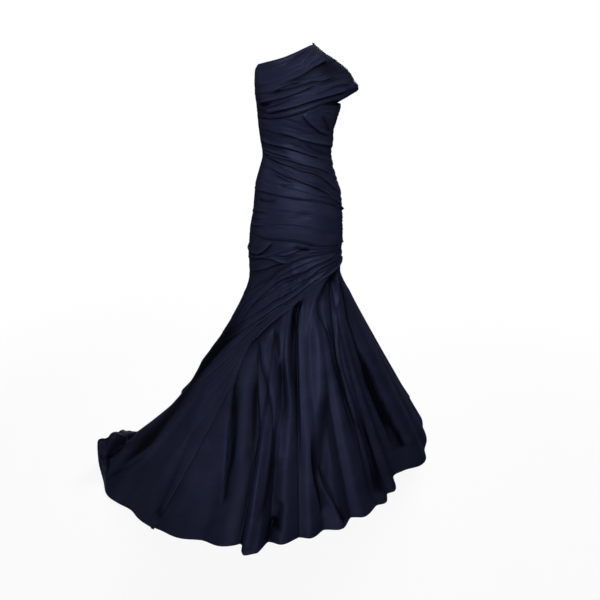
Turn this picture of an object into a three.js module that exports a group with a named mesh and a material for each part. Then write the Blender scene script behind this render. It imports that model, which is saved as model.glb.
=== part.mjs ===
// A one-shoulder mermaid gown of draped taffeta, kept in the hollow form that a wearer gives it.
// Millimetres, +Z up, and the gown faces -Y. In the tables a height is above the floor that the hem
// reaches, and an angle goes round the wearer's axis in degrees: 0 is the wearer's left side seam (+X),
// 90 the centre back, 180 the right side seam and 270 the centre front. The finished group is moved so
// that its origin lies under the shoulder seam, where the wearer carries the gown.
import * as THREE from 'three';

// Driving sizes
const CLOTH = 2.4; // wall of the backed taffeta
const TABLE_FACE = 5; // the tables give the outline over the folds, this far outside the inner face
const SEAM_GAP = 0.4; // between neighbouring panels
const KNEE_HEIGHT = 660; // where the fitted sheath starts to flare
const FLARE_EASE = { share: 0.12, power: 0.35 }; // the part of the flare that rounds it into the sheath
const SECTION_POWER = 2.25; // 2 is an ellipse, more is squarer
const ARMHOLE_HEIGHT = 1285; // underarm of both armholes
const SHOULDER_REST = { x: 130, y: 0, z: 1463 }; // on the inside of the shoulder seam
const NAVY = 0x1b1f3a;

// The sheath round the body: half widths to the wearer's right and left, half depths to front and back
const SECTIONS = [
  { height: 650, left: 176, right: 182, front: 128, back: 135 },
  { height: 700, left: 178, right: 183, front: 131, back: 138 },
  { height: 740, left: 178, right: 184, front: 133, back: 141 },
  { height: 790, left: 183, right: 181, front: 135, back: 145 },
  { height: 840, left: 183, right: 176, front: 134, back: 146 },
  { height: 900, left: 181, right: 165, front: 130, back: 142 },
  { height: 970, left: 173, right: 158, front: 121, back: 128 },
  { height: 1010, left: 161, right: 153, front: 113, back: 115 },
  { height: 1060, left: 146, right: 139, front: 103, back: 100 },
  { height: 1100, left: 138, right: 128, front: 98, back: 92 },
  { height: 1130, left: 138, right: 129, front: 97, back: 91 },
  { height: 1160, left: 142, right: 134, front: 102, back: 93 },
  { height: 1200, left: 145, right: 139, front: 113, back: 98 },
  { height: 1240, left: 158, right: 143, front: 124, back: 103 },
  { height: 1280, left: 172, right: 146, front: 127, back: 106 },
  { height: 1320, left: 203, right: 151, front: 121, back: 106 },
  { height: 1350, left: 234, right: 156, front: 113, back: 105 },
  { height: 1380, left: 220, right: 160, front: 104, back: 102 },
  { height: 1410, left: 201, right: 165, front: 94, back: 95 },
  { height: 1440, left: 168, right: 166, front: 85, back: 84 },
  { height: 1475, left: 118, right: 150, front: 74, back: 66 },
  { height: 1514, left: 69, right: 110, front: 45, back: 40 },
];

// The hem on the floor, as a reach from the axis
const HEM = [
  { angle: 0, reach: 525 },
  { angle: 18, reach: 540 },
  { angle: 38, reach: 620 },
  { angle: 55, reach: 740 },
  { angle: 73, reach: 840 },
  { angle: 90, reach: 880 },
  { angle: 111, reach: 840 },
  { angle: 126, reach: 745 },
  { angle: 141, reach: 640 },
  { angle: 160, reach: 575 },
  { angle: 178, reach: 590 },
  { angle: 188, reach: 665 },
  { angle: 197, reach: 735 },
  { angle: 208, reach: 732 },
  { angle: 221, reach: 698 },
  { angle: 233, reach: 672 },
  { angle: 245, reach: 634 },
  { angle: 256, reach: 616 },
  { angle: 272, reach: 565 },
  { angle: 289, reach: 527 },
  { angle: 300, reach: 515 },
  { angle: 307, reach: 504 },
  { angle: 314, reach: 486 },
  { angle: 320, reach: 458 },
  { angle: 326, reach: 474 },
  { angle: 332, reach: 514 },
  { angle: 337, reach: 526 },
  { angle: 343, reach: 515 },
  { angle: 350, reach: 525 },
];

// How hollow the flare's side is: 1 is straight, more sweeps out later. It varies round the hem, and
// the lobe that the train throws to the wearer's right adds to it over the flare's lower part.
const FLARE = { power: 1.27, side: -0.2, back: 0.05 };
const LOBE = { power: 0.6, angle: 195, spread: 15, from: 0.5, to: 0.8 };

// Fold lines of the front, as heights where they cross the right seam, the right front, the centre,
// the left front and the left seam. lift is how far the pleat above the line stands out.
const FRONT_STATIONS = { rightSeam: 180, rightFront: 225, centre: 270, leftFront: 315, leftSeam: 360 };
const SHOULDER_FRONT_FOLDS = [
  { rightSeam: 1252, rightFront: 1236, centre: 1248, leftFront: 1288, leftSeam: 1345, lift: 7 },
  { rightSeam: 1268, rightFront: 1258, centre: 1275, leftFront: 1306, leftSeam: 1362, lift: 8 },
  { rightSeam: 1284, rightFront: 1288, centre: 1312, leftFront: 1343, leftSeam: 1385, lift: 5 },
  { rightSeam: 1300, rightFront: 1309, centre: 1330, leftFront: 1358, leftSeam: 1402, lift: 7 },
  { rightSeam: 1322, rightFront: 1328, centre: 1354, leftFront: 1376, leftSeam: 1420, lift: 7 },
  { rightSeam: 1346, rightFront: 1358, centre: 1389, leftFront: 1423, leftSeam: 1453, lift: 8 },
  { rightSeam: 1404, rightFront: 1424, centre: 1452, leftFront: 1481, leftSeam: 1500, lift: 3 },
  { rightSeam: 1418, rightFront: 1440, centre: 1466, leftFront: 1494, leftSeam: 1514, lift: 0 },
];
const BODICE_FRONT_FOLDS = [
  { rightSeam: 1000, rightFront: 970, centre: 954, leftFront: 938, leftSeam: 893, lift: 6 },
  { rightSeam: 1040, rightFront: 1014, centre: 987, leftFront: 956, leftSeam: 911, lift: 4 },
  { rightSeam: 1078, rightFront: 1057, centre: 1022, leftFront: 977, leftSeam: 929, lift: 6 },
  { rightSeam: 1122, rightFront: 1091, centre: 1056, leftFront: 1020, leftSeam: 950, lift: 5 },
  { rightSeam: 1150, rightFront: 1116, centre: 1090, leftFront: 1062, leftSeam: 1008, lift: 6 },
  { rightSeam: 1172, rightFront: 1139, centre: 1122, leftFront: 1099, leftSeam: 1066, lift: 5 },
  { rightSeam: 1208, rightFront: 1190, centre: 1167, leftFront: 1150, leftSeam: 1130, lift: 6 },
  { rightSeam: 1252, rightFront: 1236, centre: 1248, leftFront: 1288, leftSeam: 1345, lift: 0 },
];
const HIP_FRONT_FOLDS = [
  { rightSeam: 822, rightFront: 808, centre: 801, leftFront: 778, leftSeam: 771, lift: 6 },
  { rightSeam: 878, rightFront: 862, centre: 858, leftFront: 834, leftSeam: 812, lift: 3 },
  { rightSeam: 940, rightFront: 918, centre: 905, leftFront: 888, leftSeam: 852, lift: 3 },
  { rightSeam: 1000, rightFront: 970, centre: 954, leftFront: 938, leftSeam: 893, lift: 0 },
];
const THIGH_FRONT_SHARES = [ // between the swag's upper edge and the hip panel, as a share of the way up
  { rightSeam: 0, rightFront: 0, centre: 0, leftFront: 0, leftSeam: 0, lift: 5 },
  { rightSeam: 0.3, rightFront: 0.24, centre: 0.3, leftFront: 0.33, leftSeam: 0.33, lift: 6 },
  { rightSeam: 0.62, rightFront: 0.56, centre: 0.6, leftFront: 0.66, leftSeam: 0.66, lift: 9 },
  { rightSeam: 1, rightFront: 1, centre: 1, leftFront: 1, leftSeam: 1, lift: 0 },
];

// Fold lines of the back, from the left seam round to the right seam
const BACK_STATIONS = { leftSeam: 0, leftBack: 45, centre: 90, rightBack: 135, rightSeam: 180 };
const SHOULDER_BACK_FOLDS = [
  { leftSeam: 1345, leftBack: 1264, centre: 1256, rightBack: 1250, rightSeam: 1252, lift: 6 },
  { leftSeam: 1364, leftBack: 1298, centre: 1284, rightBack: 1276, rightSeam: 1270, lift: 6 },
  { leftSeam: 1396, leftBack: 1350, centre: 1324, rightBack: 1306, rightSeam: 1296, lift: 5 },
  { leftSeam: 1426, leftBack: 1386, centre: 1360, rightBack: 1340, rightSeam: 1328, lift: 6 },
  { leftSeam: 1468, leftBack: 1432, centre: 1400, rightBack: 1380, rightSeam: 1368, lift: 5 },
  { leftSeam: 1514, leftBack: 1482, centre: 1446, rightBack: 1424, rightSeam: 1410, lift: 0 },
];
const BODICE_BACK_FOLDS = [
  { leftSeam: 893, leftBack: 925, centre: 958, rightBack: 984, rightSeam: 1000, lift: 5 },
  { leftSeam: 950, leftBack: 982, centre: 1010, rightBack: 1034, rightSeam: 1050, lift: 5 },
  { leftSeam: 1012, leftBack: 1040, centre: 1062, rightBack: 1082, rightSeam: 1096, lift: 6 },
  { leftSeam: 1072, leftBack: 1094, centre: 1112, rightBack: 1128, rightSeam: 1140, lift: 5 },
  { leftSeam: 1134, leftBack: 1150, centre: 1166, rightBack: 1178, rightSeam: 1186, lift: 5 },
  { leftSeam: 1345, leftBack: 1264, centre: 1256, rightBack: 1250, rightSeam: 1252, lift: 0 },
];
const HIP_BACK_FOLDS = [
  { leftSeam: 716, leftBack: 690, centre: 668, rightBack: 640, rightSeam: 606, lift: 5 },
  { leftSeam: 756, leftBack: 748, centre: 738, rightBack: 722, rightSeam: 700, lift: 4 },
  { leftSeam: 806, leftBack: 816, centre: 820, rightBack: 814, rightSeam: 800, lift: 4 },
  { leftSeam: 850, leftBack: 874, centre: 894, rightBack: 904, rightSeam: 906, lift: 3 },
  { leftSeam: 893, leftBack: 925, centre: 958, rightBack: 984, rightSeam: 1000, lift: 0 },
];

// The swag: pleats that leave the left hip seam together and spread to the train. Each line has its
// heights at fixed angles, and then runs from SWAG_TURN to its own end on the right seam or the hem.
const SWAG_STATIONS = { seam: 360, hip: 335, outer: 305, middle: 275, inner: 247, turn: 232 };
const SWAG_TURN = SWAG_STATIONS.turn;
const SWAG_LINES = [
  { seam: 762, hip: 757, outer: 748, middle: 731, inner: 695, turn: 660, end: 180, endHeight: 560, lift: 8 },
  { seam: 755, hip: 748, outer: 713, middle: 671, inner: 638, turn: 604, end: 180, endHeight: 452, lift: 8 },
  { seam: 744, hip: 722, outer: 681, middle: 636, inner: 594, turn: 556, end: 180, endHeight: 392, lift: 7 },
  { seam: 733, hip: 700, outer: 662, middle: 616, inner: 567, turn: 525, end: 180, endHeight: 318, lift: 5 },
  { seam: 730, hip: 697, outer: 659, middle: 611, inner: 557, turn: 508, end: 180, endHeight: 150, lift: 3 },
  { seam: 728, hip: 695, outer: 657, middle: 608, inner: 552, turn: 500, end: 180, endHeight: 0, lift: 2 },
  { seam: 726, hip: 693, outer: 655, middle: 605, inner: 547, turn: 491, end: 190, endHeight: 0, lift: 2 },
  { seam: 724, hip: 691, outer: 653, middle: 602, inner: 542, turn: 482, end: 200, endHeight: 0, lift: 2 },
  { seam: 722, hip: 689, outer: 651, middle: 598, inner: 536, turn: 472, end: 211, endHeight: 0, lift: 3 },
  { seam: 720, hip: 687, outer: 649, middle: 594, inner: 530, turn: 462, end: 221, endHeight: 0, lift: 3 },
  { seam: 718, hip: 686, outer: 646, middle: 590, inner: 523, turn: 452, end: 231, endHeight: 0, lift: 0 },
];
const SWAG_EDGE_LIFT = 7;
const SWAG_SWEEP = 1.08; // more than 1 lets its lines fall later on the way to the train
const SWAG_HEM_WAVES = [ // the curled hem of the lobe: where, how far out and how far up
  { angle: 187, spread: 3, out: 8, up: 6 },
  { angle: 197, spread: 4.5, out: 14, up: 22 },
  { angle: 212, spread: 4, out: 10, up: 0 },
  { angle: 221, spread: 3, out: -8, up: 0 },
];
const HEM_WAVE_HEIGHT = 260;
const HEM_WAVE_FADE = 4; // degrees at each edge of the swag

// Flutes of the front skirt: where each crest or valley leaves the swag, where it meets the hem, and
// how far it is pushed out (or in) there
const FRONT_FLUTES = [
  { start: 360, hem: 360, push: 0 },
  { start: 356, hem: 349, push: 0 },
  { start: 350, hem: 340, push: 0 },
  { start: 345, hem: 331, push: 0 },
  { start: 341, hem: 324, push: 0 },
  { start: 338, hem: 319, push: -3 },
  { start: 334, hem: 313, push: 9 },
  { start: 330, hem: 309, push: -9 },
  { start: 326, hem: 305.5, push: 7 },
  { start: 320, hem: 301.5, push: -5 },
  { start: 312, hem: 295, push: 8 },
  { start: 303, hem: 290, push: -12 },
  { start: 296, hem: 285.5, push: 12 },
  { start: 288, hem: 279.5, push: -8 },
  { start: 280, hem: 275.5, push: 6 },
  { start: 270, hem: 271.5, push: -9 },
  { start: 264, hem: 267, push: 2 },
  { start: 258, hem: 262.5, push: -18 },
  { start: 254, hem: 260, push: 18 },
  { start: 250, hem: 257.5, push: 22 },
  { start: 247, hem: 254.8, push: -12 },
  { start: 241, hem: 249, push: 1 },
  { start: 237, hem: 244.5, push: -6 },
  { start: 234, hem: 238.5, push: 2 },
  { start: 233, hem: 232.8, push: -5 },
  { start: 231, hem: 229.4, push: -5 },
];
const FRONT_GORES = { skirt_front_left: [0, 15], skirt_front_right: [15, 25] }; // rows of the table
const FLUTE_ROWS = [0, 0.05, 0.12, 0.2, 0.3, 0.42, 0.56, 0.7, 0.84, 1];
const FLUTE_STEPS = 2; // columns from each crest or valley to the next
const FLUTE_TURN = 3; // how soon a flute hangs straight below its start
const FLUTE_AT_TOP = { front: 0.25, back: 0.12 }; // of a flute's push, where the skirt leaves the sheath
const BACK_FLUTE_START = 0.05; // share of the skirt's drop over which a back flute begins
const TUCK = { height: 6, depth: 6.5, share: 0.1, flutes: 1.5 }; // the skirt's edge, under the swag

// Flutes of the back skirt and train
const BACK_FLUTES = [
  { hem: 0, push: 0 },
  { hem: 8, push: 16 },
  { hem: 15, push: -16 },
  { hem: 24, push: 22 },
  { hem: 32, push: -20 },
  { hem: 41, push: 18 },
  { hem: 49, push: -26 },
  { hem: 59, push: 24 },
  { hem: 69, push: -18 },
  { hem: 80, push: 26 },
  { hem: 90, push: -24 },
  { hem: 100, push: 22 },
  { hem: 109, push: -22 },
  { hem: 118, push: 28 },
  { hem: 126, push: -22 },
  { hem: 135, push: 20 },
  { hem: 143, push: -24 },
  { hem: 151, push: 22 },
  { hem: 160, push: -16 },
  { hem: 169, push: 16 },
  { hem: 180, push: 0 },
];
const BACK_GORES = {
  skirt_back_side_left: [0, 6],
  skirt_train_left: [6, 10],
  skirt_train_right: [10, 14],
  skirt_back_side_right: [14, 20],
};

// How a pleat stands out on the way from its line to the next one: upwards, or down on the swag
const PLEAT = [
  { share: 0, rise: 0 },
  { share: 0.18, rise: 1 },
  { share: 0.55, rise: 0.75 },
];
const SWAG_PLEAT = [
  { share: 0, rise: 0 },
  { share: 0.3, rise: 0.8 },
  { share: 0.75, rise: 1 },
];
const EDGE_RISE = 0.8; // of a panel's own lower edge, which laps the panel below
const STEEPEST = 0.4; // of a pleat's rise to the room between its line and the next
const FAR_LIFT = 0.5; // of a swag pleat at the train, to its lift at the left hip seam

const FRONT_COLUMNS = [
  360, 352, 344, 335, 325, 315, 305, 295, 285, 275, 265.5, 256, 247, 239.5, 232,
  223.3, 214.7, 206, 197.3, 188.7, 180,
];
const BACK_STEP = 10; // degrees
const BACK_COLUMNS = Array.from({ length: 180 / BACK_STEP + 1 }, (_, i) => i * BACK_STEP);
const TURN_COLUMN = FRONT_COLUMNS.indexOf(SWAG_TURN);

const lerp = (a, b, share) => a + (b - a) * share;
const clamp = (x) => Math.min(1, Math.max(0, x));
const radians = (angle) => (angle * Math.PI) / 180;

// A smooth curve through (xs, ys), with each point's slope taken from its neighbours
function smooth(xs, ys, x) {
  const last = xs.length - 1;
  const at = Math.min(xs[last], Math.max(xs[0], x));
  let i = 0;
  while (i < last - 1 && at > xs[i + 1]) i += 1;
  const slope = (k) => {
    const a = Math.max(0, k - 1);
    const b = Math.min(last, k + 1);
    return (ys[b] - ys[a]) / (xs[b] - xs[a]);
  };
  const h = xs[i + 1] - xs[i];
  const t = (at - xs[i]) / h;
  const t2 = t * t;
  const t3 = t2 * t;
  return (2 * t3 - 3 * t2 + 1) * ys[i] + (t3 - 2 * t2 + t) * h * slope(i)
    + (3 * t2 - 2 * t3) * ys[i + 1] + (t3 - t2) * h * slope(i + 1);
}

const SECTION_HEIGHTS = SECTIONS.map((row) => row.height);
const SECTION_COLUMNS = Object.fromEntries(
  ['left', 'right', 'front', 'back'].map((side) => [side, SECTIONS.map((row) => row[side])]),
);
const HEM_LOOP = [
  ...HEM.slice(-2).map((row) => ({ angle: row.angle - 360, reach: row.reach })),
  ...HEM,
  ...HEM.slice(0, 2).map((row) => ({ angle: row.angle + 360, reach: row.reach })),
];
const HEM_ANGLES = HEM_LOOP.map((row) => row.angle);
const HEM_REACHES = HEM_LOOP.map((row) => row.reach);

function sheathRadius(angle, height) {
  const cosine = Math.cos(radians(angle));
  const sine = Math.sin(radians(angle));
  const at = Math.max(height, SECTION_HEIGHTS[0]);
  const size = (side) => smooth(SECTION_HEIGHTS, SECTION_COLUMNS[side], at);
  const width = size(cosine >= 0 ? 'left' : 'right');
  const depth = size(sine < 0 ? 'front' : 'back');
  const sum = Math.abs(cosine / width) ** SECTION_POWER + Math.abs(sine / depth) ** SECTION_POWER;
  return sum ** (-1 / SECTION_POWER);
}

function flareShare(angle, height) {
  const fall = clamp((KNEE_HEIGHT - height) / KNEE_HEIGHT);
  const near = Math.exp(-(((angle - LOBE.angle) / LOBE.spread) ** 2));
  const lobe = LOBE.power * near * clamp((fall - LOBE.from) / (LOBE.to - LOBE.from));
  const side = FLARE.side * Math.cos(radians(angle));
  const power = FLARE.power + side + FLARE.back * Math.sin(radians(angle)) + lobe;
  return fall ** power * clamp(fall / FLARE_EASE.share) ** FLARE_EASE.power;
}

// The outline over the folds: the sheath round the body, blended out to the hem below the knee
function clothRadius(angle, height) {
  const hem = smooth(HEM_ANGLES, HEM_REACHES, ((angle % 360) + 360) % 360);
  return lerp(sheathRadius(angle, height), hem, flareShare(angle, height));
}

function pointAt(angle, height, out) {
  const radius = clothRadius(angle, height) - TABLE_FACE + out;
  return [radius * Math.cos(radians(angle)), radius * Math.sin(radians(angle)), height];
}

const heightOn = (row, stations, angle) => smooth(
  Object.values(stations),
  Object.keys(stations).map((name) => row[name]),
  angle,
);

// Triangles between two lines of point numbers that start and end together
function stitch(a, b, triangles) {
  let i = 0;
  let j = 0;
  while (i < a.length - 1 || j < b.length - 1) {
    const stepA = i < a.length - 1 ? (i + 1) / (a.length - 1) : Infinity;
    const stepB = j < b.length - 1 ? (j + 1) / (b.length - 1) : Infinity;
    if (stepA <= stepB) {
      triangles.push([a[i], a[i + 1], b[j]]);
      i += 1;
    } else {
      triangles.push([a[i], b[j + 1], b[j]]);
      j += 1;
    }
  }
}

// A closed wall from two skins of points, [row][column], with the same number of columns
function wall(outer, inner) {
  const points = [];
  const number = (rows) => rows.map((row) => row.map((point) => points.push(point) - 1));
  const outerNumbers = number(outer);
  const innerNumbers = number(inner);
  const triangles = [];
  const skin = (rows, flip) => {
    for (let r = 0; r < rows.length - 1; r += 1) {
      for (let c = 0; c < rows[r].length - 1; c += 1) {
        const quad = [rows[r][c], rows[r][c + 1], rows[r + 1][c + 1], rows[r + 1][c]];
        const halves = (r + c) % 2 ? [[0, 1, 2], [0, 2, 3]] : [[0, 1, 3], [1, 2, 3]];
        halves.forEach((half) => {
          const corners = half.map((k) => quad[k]);
          triangles.push(flip ? corners.reverse() : corners);
        });
      }
    }
  };
  skin(outerNumbers, false);
  skin(innerNumbers, true);
  const column = (rows, c) => rows.map((row) => row.at(c));
  stitch(innerNumbers[0], outerNumbers[0], triangles);
  stitch(outerNumbers.at(-1), innerNumbers.at(-1), triangles);
  stitch(column(outerNumbers, 0), column(innerNumbers, 0), triangles);
  stitch(column(innerNumbers, -1), column(outerNumbers, -1), triangles);

  const volume = triangles.reduce((sum, [i, j, k]) => {
    const [a, b, c] = [points[i], points[j], points[k]].map((p) => new THREE.Vector3(...p));
    return sum + a.dot(b.cross(c));
  }, 0);
  const facing = volume < 0 ? triangles.map(([i, j, k]) => [k, j, i]) : triangles;
  const geometry = new THREE.BufferGeometry();
  geometry.setAttribute('position', new THREE.Float32BufferAttribute(points.flat(), 3));
  geometry.setIndex(facing.flat());
  geometry.computeVertexNormals();
  return geometry;
}

// A pleated panel: the outer skin follows each pleat, and the inner skin is plain.
// lines holds a height function for each fold, and columns(share) the angles at that share of the way up.
function pleatedPanel(lines, lifts, columns) {
  const outer = [];
  const inner = [];
  const row = (i, share, rise, skinOut) => {
    const isTop = i === lines.length - 1;
    const isBottom = i === 0 && share === 0;
    const above = lines[Math.min(i + 1, lines.length - 1)];
    const upShare = (i + share) / (lines.length - 1);
    const shift = (SEAM_GAP / 2) * (isBottom - isTop);
    return columns(upShare).map((angle, c) => {
      const low = lines[i](angle, c);
      const room = above(angle, c) - low;
      const lift = Math.min(lifts[i], STEEPEST * room);
      return pointAt(angle, low + room * share + shift, skinOut + lift * rise);
    });
  };
  lines.forEach((_, i) => {
    if (i === lines.length - 1) {
      outer.push(row(i, 0, 0, CLOTH));
    } else {
      PLEAT.forEach(({ share, rise }) => {
        outer.push(row(i, share, i === 0 && share === 0 ? EDGE_RISE : rise, CLOTH));
      });
    }
    inner.push(row(i, 0, 0, 0));
  });
  return wall(outer, inner);
}

function foldPanel(folds, stations, columns, top = Infinity) {
  const lines = folds.map((row) => (angle) => Math.min(top, heightOn(row, stations, angle)));
  return pleatedPanel(lines, folds.map((row) => row.lift), columns);
}

// Columns that start at a side seam and end on an armhole's edge, which leaves the seam as it rises
const towardsArmhole = (columns, seam, edge) => (share) => columns.map(
  (angle) => seam + (angle - seam) * (edge(share) - seam) / (180 - seam),
);
const FRONT_ARMHOLE_TURN = 23; // degrees between the right seam and the neckline's front corner
const BACK_ARMHOLE_TURN = 34; // and its back corner
const ARMHOLE_START = 0.2; // share of the drape's height where its edge leaves the right seam
const armholeRise = (share) => Math.max(0, (share - ARMHOLE_START) / (1 - ARMHOLE_START));

// A point on a line of the swag, at one of the front columns
function swagPoint(line, c) {
  if (c <= TURN_COLUMN) {
    return { angle: FRONT_COLUMNS[c], height: heightOnSwag(line, FRONT_COLUMNS[c]) };
  }
  const share = (c - TURN_COLUMN) / (FRONT_COLUMNS.length - 1 - TURN_COLUMN);
  return {
    angle: lerp(SWAG_TURN, line.end, share),
    height: lerp(line.turn, line.endHeight, share ** SWAG_SWEEP),
  };
}

function heightOnSwag(line, angle) {
  const names = Object.keys(SWAG_STATIONS).reverse();
  return smooth(names.map((name) => SWAG_STATIONS[name]), names.map((name) => line[name]), angle);
}

function swagPanel() {
  const skin = (base, relief) => SWAG_LINES.flatMap((line, i) => {
    const isLast = i === SWAG_LINES.length - 1;
    const below = isLast ? line : SWAG_LINES[i + 1];
    const steps = isLast ? SWAG_PLEAT.slice(0, 1) : SWAG_PLEAT;
    return steps.map(({ share, rise }) => FRONT_COLUMNS.map((_, c) => {
      const a = swagPoint(line, c);
      const b = swagPoint(below, c);
      const isTop = i === 0 && share === 0;
      const along = radians(a.angle - b.angle) * clothRadius(a.angle, a.height);
      const room = Math.hypot(a.height - b.height, along);
      const pleat = Math.min(line.lift, STEEPEST * room) * rise;
      const lift = isTop || isLast ? SWAG_EDGE_LIFT : pleat;
      const fade = lerp(1, FAR_LIFT, c / (FRONT_COLUMNS.length - 1));
      const height = lerp(a.height, b.height, share) - (isTop ? SEAM_GAP / 2 : 0);
      return hemWave(lerp(a.angle, b.angle, share), height, base + relief * lift * fade);
    }));
  });
  return wall(skin(CLOTH, 1), skin(0, 0));
}

// The lobe's hem curls up and out in waves that die away above it and towards its two edges
function hemWave(angle, height, out) {
  const near = clamp(1 - height / HEM_WAVE_HEIGHT) ** 2;
  const sum = (name) => SWAG_HEM_WAVES.reduce(
    (total, wave) => total + wave[name] * Math.exp(-(((angle - wave.angle) / wave.spread) ** 2)),
    0,
  );
  const fromSeam = (angle - FRONT_STATIONS.rightSeam) / HEM_WAVE_FADE;
  const fromEdge = (SWAG_LINES.at(-1).end - angle) / HEM_WAVE_FADE;
  const fade = clamp(fromSeam) * clamp(fromEdge);
  const [x, y, z] = pointAt(angle, height, out + near * fade * sum('out'));
  return [x, y, z + near * near * fade * sum('up')];
}

// Crests and valleys joined by smooth waves: the value of one column of a flute table at a place in it
function alongFlutes(flutes, name, place) {
  const i = Math.min(flutes.length - 2, Math.floor(place));
  const share = place - i;
  const eased = name === 'push' ? (1 - Math.cos(Math.PI * share)) / 2 : share;
  return lerp(flutes[i][name], flutes[i + 1][name], eased);
}

const fluteColumns = ([from, to]) => Array.from(
  { length: (to - from) * FLUTE_STEPS + 1 },
  (_, i) => from + i / FLUTE_STEPS,
);

// A gore's first and last columns stop short of the seams that it shares with its neighbours
function goreSkins(columns, pointOn) {
  const skin = (out) => FLUTE_ROWS.map((fall) => columns.map((place, c) => {
    const { angle, height, push } = pointOn(place, fall);
    const inward = (c === 0) - (c === columns.length - 1);
    const turning = Math.sign(pointOn(columns.at(-1), fall).angle - pointOn(columns[0], fall).angle);
    const trim = (SEAM_GAP / 2 / clothRadius(angle, height)) * (180 / Math.PI);
    return pointAt(angle + inward * turning * trim, height, out + push);
  }));
  return wall(skin(CLOTH), skin(0));
}

function frontGore(rows) {
  const edge = SWAG_LINES.at(-1);
  const last = FRONT_FLUTES.length - 1;
  return goreSkins(fluteColumns(rows), (place, fall) => {
    const start = alongFlutes(FRONT_FLUTES, 'start', place);
    const hem = alongFlutes(FRONT_FLUTES, 'hem', place);
    const top = heightOnSwag(edge, Math.max(start, SWAG_TURN)) + TUCK.height;
    const under = Math.max(clamp(1 - fall / TUCK.share), clamp((place - last) / TUCK.flutes + 1));
    const growth = clamp(fall / TUCK.share) * lerp(FLUTE_AT_TOP.front, 1, fall);
    const push = alongFlutes(FRONT_FLUTES, 'push', place) * growth * (1 - under);
    return {
      angle: lerp(hem, start, (1 - fall) ** FLUTE_TURN),
      height: top * (1 - fall),
      push: push - TUCK.depth * under,
    };
  });
}

function backGore(rows) {
  return goreSkins(fluteColumns(rows), (place, fall) => {
    const angle = alongFlutes(BACK_FLUTES, 'hem', place);
    const top = heightOn(HIP_BACK_FOLDS[0], BACK_STATIONS, angle) - SEAM_GAP / 2;
    const growth = lerp(FLUTE_AT_TOP.back, 1, fall) * clamp(fall / BACK_FLUTE_START);
    return { angle, height: top * (1 - fall), push: alongFlutes(BACK_FLUTES, 'push', place) * growth };
  });
}

// The thigh's wrapped cloth fills what the swag's upper edge and the hip panel leave between them
function thighPanel() {
  const lines = THIGH_FRONT_SHARES.map((row) => (angle, c) => {
    const low = swagPoint(SWAG_LINES[0], c).height;
    const high = heightOn(HIP_FRONT_FOLDS[0], FRONT_STATIONS, angle);
    return lerp(low, high, heightOn(row, FRONT_STATIONS, angle));
  });
  return pleatedPanel(lines, THIGH_FRONT_SHARES.map((row) => row.lift), () => FRONT_COLUMNS);
}

const PANELS = {
  shoulder_drape_front: () => foldPanel(
    SHOULDER_FRONT_FOLDS,
    FRONT_STATIONS,
    towardsArmhole(FRONT_COLUMNS, 360, (share) => 180 + FRONT_ARMHOLE_TURN * armholeRise(share)),
  ),
  shoulder_drape_back: () => foldPanel(
    SHOULDER_BACK_FOLDS,
    BACK_STATIONS,
    towardsArmhole(BACK_COLUMNS, 0, (share) => 180 - BACK_ARMHOLE_TURN * armholeRise(share)),
  ),
  bodice_front: () => foldPanel(BODICE_FRONT_FOLDS, FRONT_STATIONS, () => FRONT_COLUMNS, ARMHOLE_HEIGHT),
  bodice_back: () => foldPanel(BODICE_BACK_FOLDS, BACK_STATIONS, () => BACK_COLUMNS, ARMHOLE_HEIGHT),
  hip_wrap_front: () => foldPanel(HIP_FRONT_FOLDS, FRONT_STATIONS, () => FRONT_COLUMNS),
  hip_wrap_back: () => foldPanel(HIP_BACK_FOLDS, BACK_STATIONS, () => BACK_COLUMNS),
  thigh_wrap_front: thighPanel,
  swag_panel: swagPanel,
};
const BACK_PANELS = ['shoulder_drape_back', 'bodice_back', 'hip_wrap_back', ...Object.keys(BACK_GORES)];
const addGores = (gores, build) => Object.entries(gores).forEach(([name, rows]) => {
  PANELS[name] = () => build(rows);
});
addGores(FRONT_GORES, frontGore);
addGores(BACK_GORES, backGore);

const gown = new THREE.Group();
const dressed = new THREE.Group();
dressed.position.set(-SHOULDER_REST.x, -SHOULDER_REST.y, -SHOULDER_REST.z);
gown.add(dressed);
Object.entries(PANELS).forEach(([name, build]) => {
  const taffeta = new THREE.MeshStandardMaterial({ color: NAVY, roughness: 0.45, metalness: 0 });
  const panel = new THREE.Mesh(build(), taffeta);
  panel.name = name;
  panel.position.y = (BACK_PANELS.includes(name) ? 1 : -1) * SEAM_GAP / 2; // parts the side seams
  dressed.add(panel);
});

export default gown;
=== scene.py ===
from collections import namedtuple

import bpy
import numpy as np
from bpy.props import FloatProperty, FloatVectorProperty, PointerProperty
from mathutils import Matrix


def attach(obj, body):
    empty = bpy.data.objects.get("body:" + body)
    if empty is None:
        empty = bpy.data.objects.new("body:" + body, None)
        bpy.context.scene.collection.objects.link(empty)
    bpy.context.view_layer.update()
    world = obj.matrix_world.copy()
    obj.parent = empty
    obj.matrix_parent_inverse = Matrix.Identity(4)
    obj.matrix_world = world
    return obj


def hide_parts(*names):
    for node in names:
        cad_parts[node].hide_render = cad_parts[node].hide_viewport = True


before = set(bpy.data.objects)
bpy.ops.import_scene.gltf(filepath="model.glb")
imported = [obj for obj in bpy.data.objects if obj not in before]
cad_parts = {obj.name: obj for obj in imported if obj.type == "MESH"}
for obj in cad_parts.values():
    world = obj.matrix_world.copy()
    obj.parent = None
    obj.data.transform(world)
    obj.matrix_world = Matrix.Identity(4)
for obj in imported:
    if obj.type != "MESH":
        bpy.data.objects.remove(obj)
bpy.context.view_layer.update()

bl_info = {
    "name": "Mermaid gown",
    "version": (1, 0, 0),
    "blender": (4, 5, 0),
    "location": "3D View > Sidebar > Gown",
    "description": "Draped taffeta cloth, light and camera for a one-shoulder mermaid gown",
    "category": "Object",
}

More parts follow.
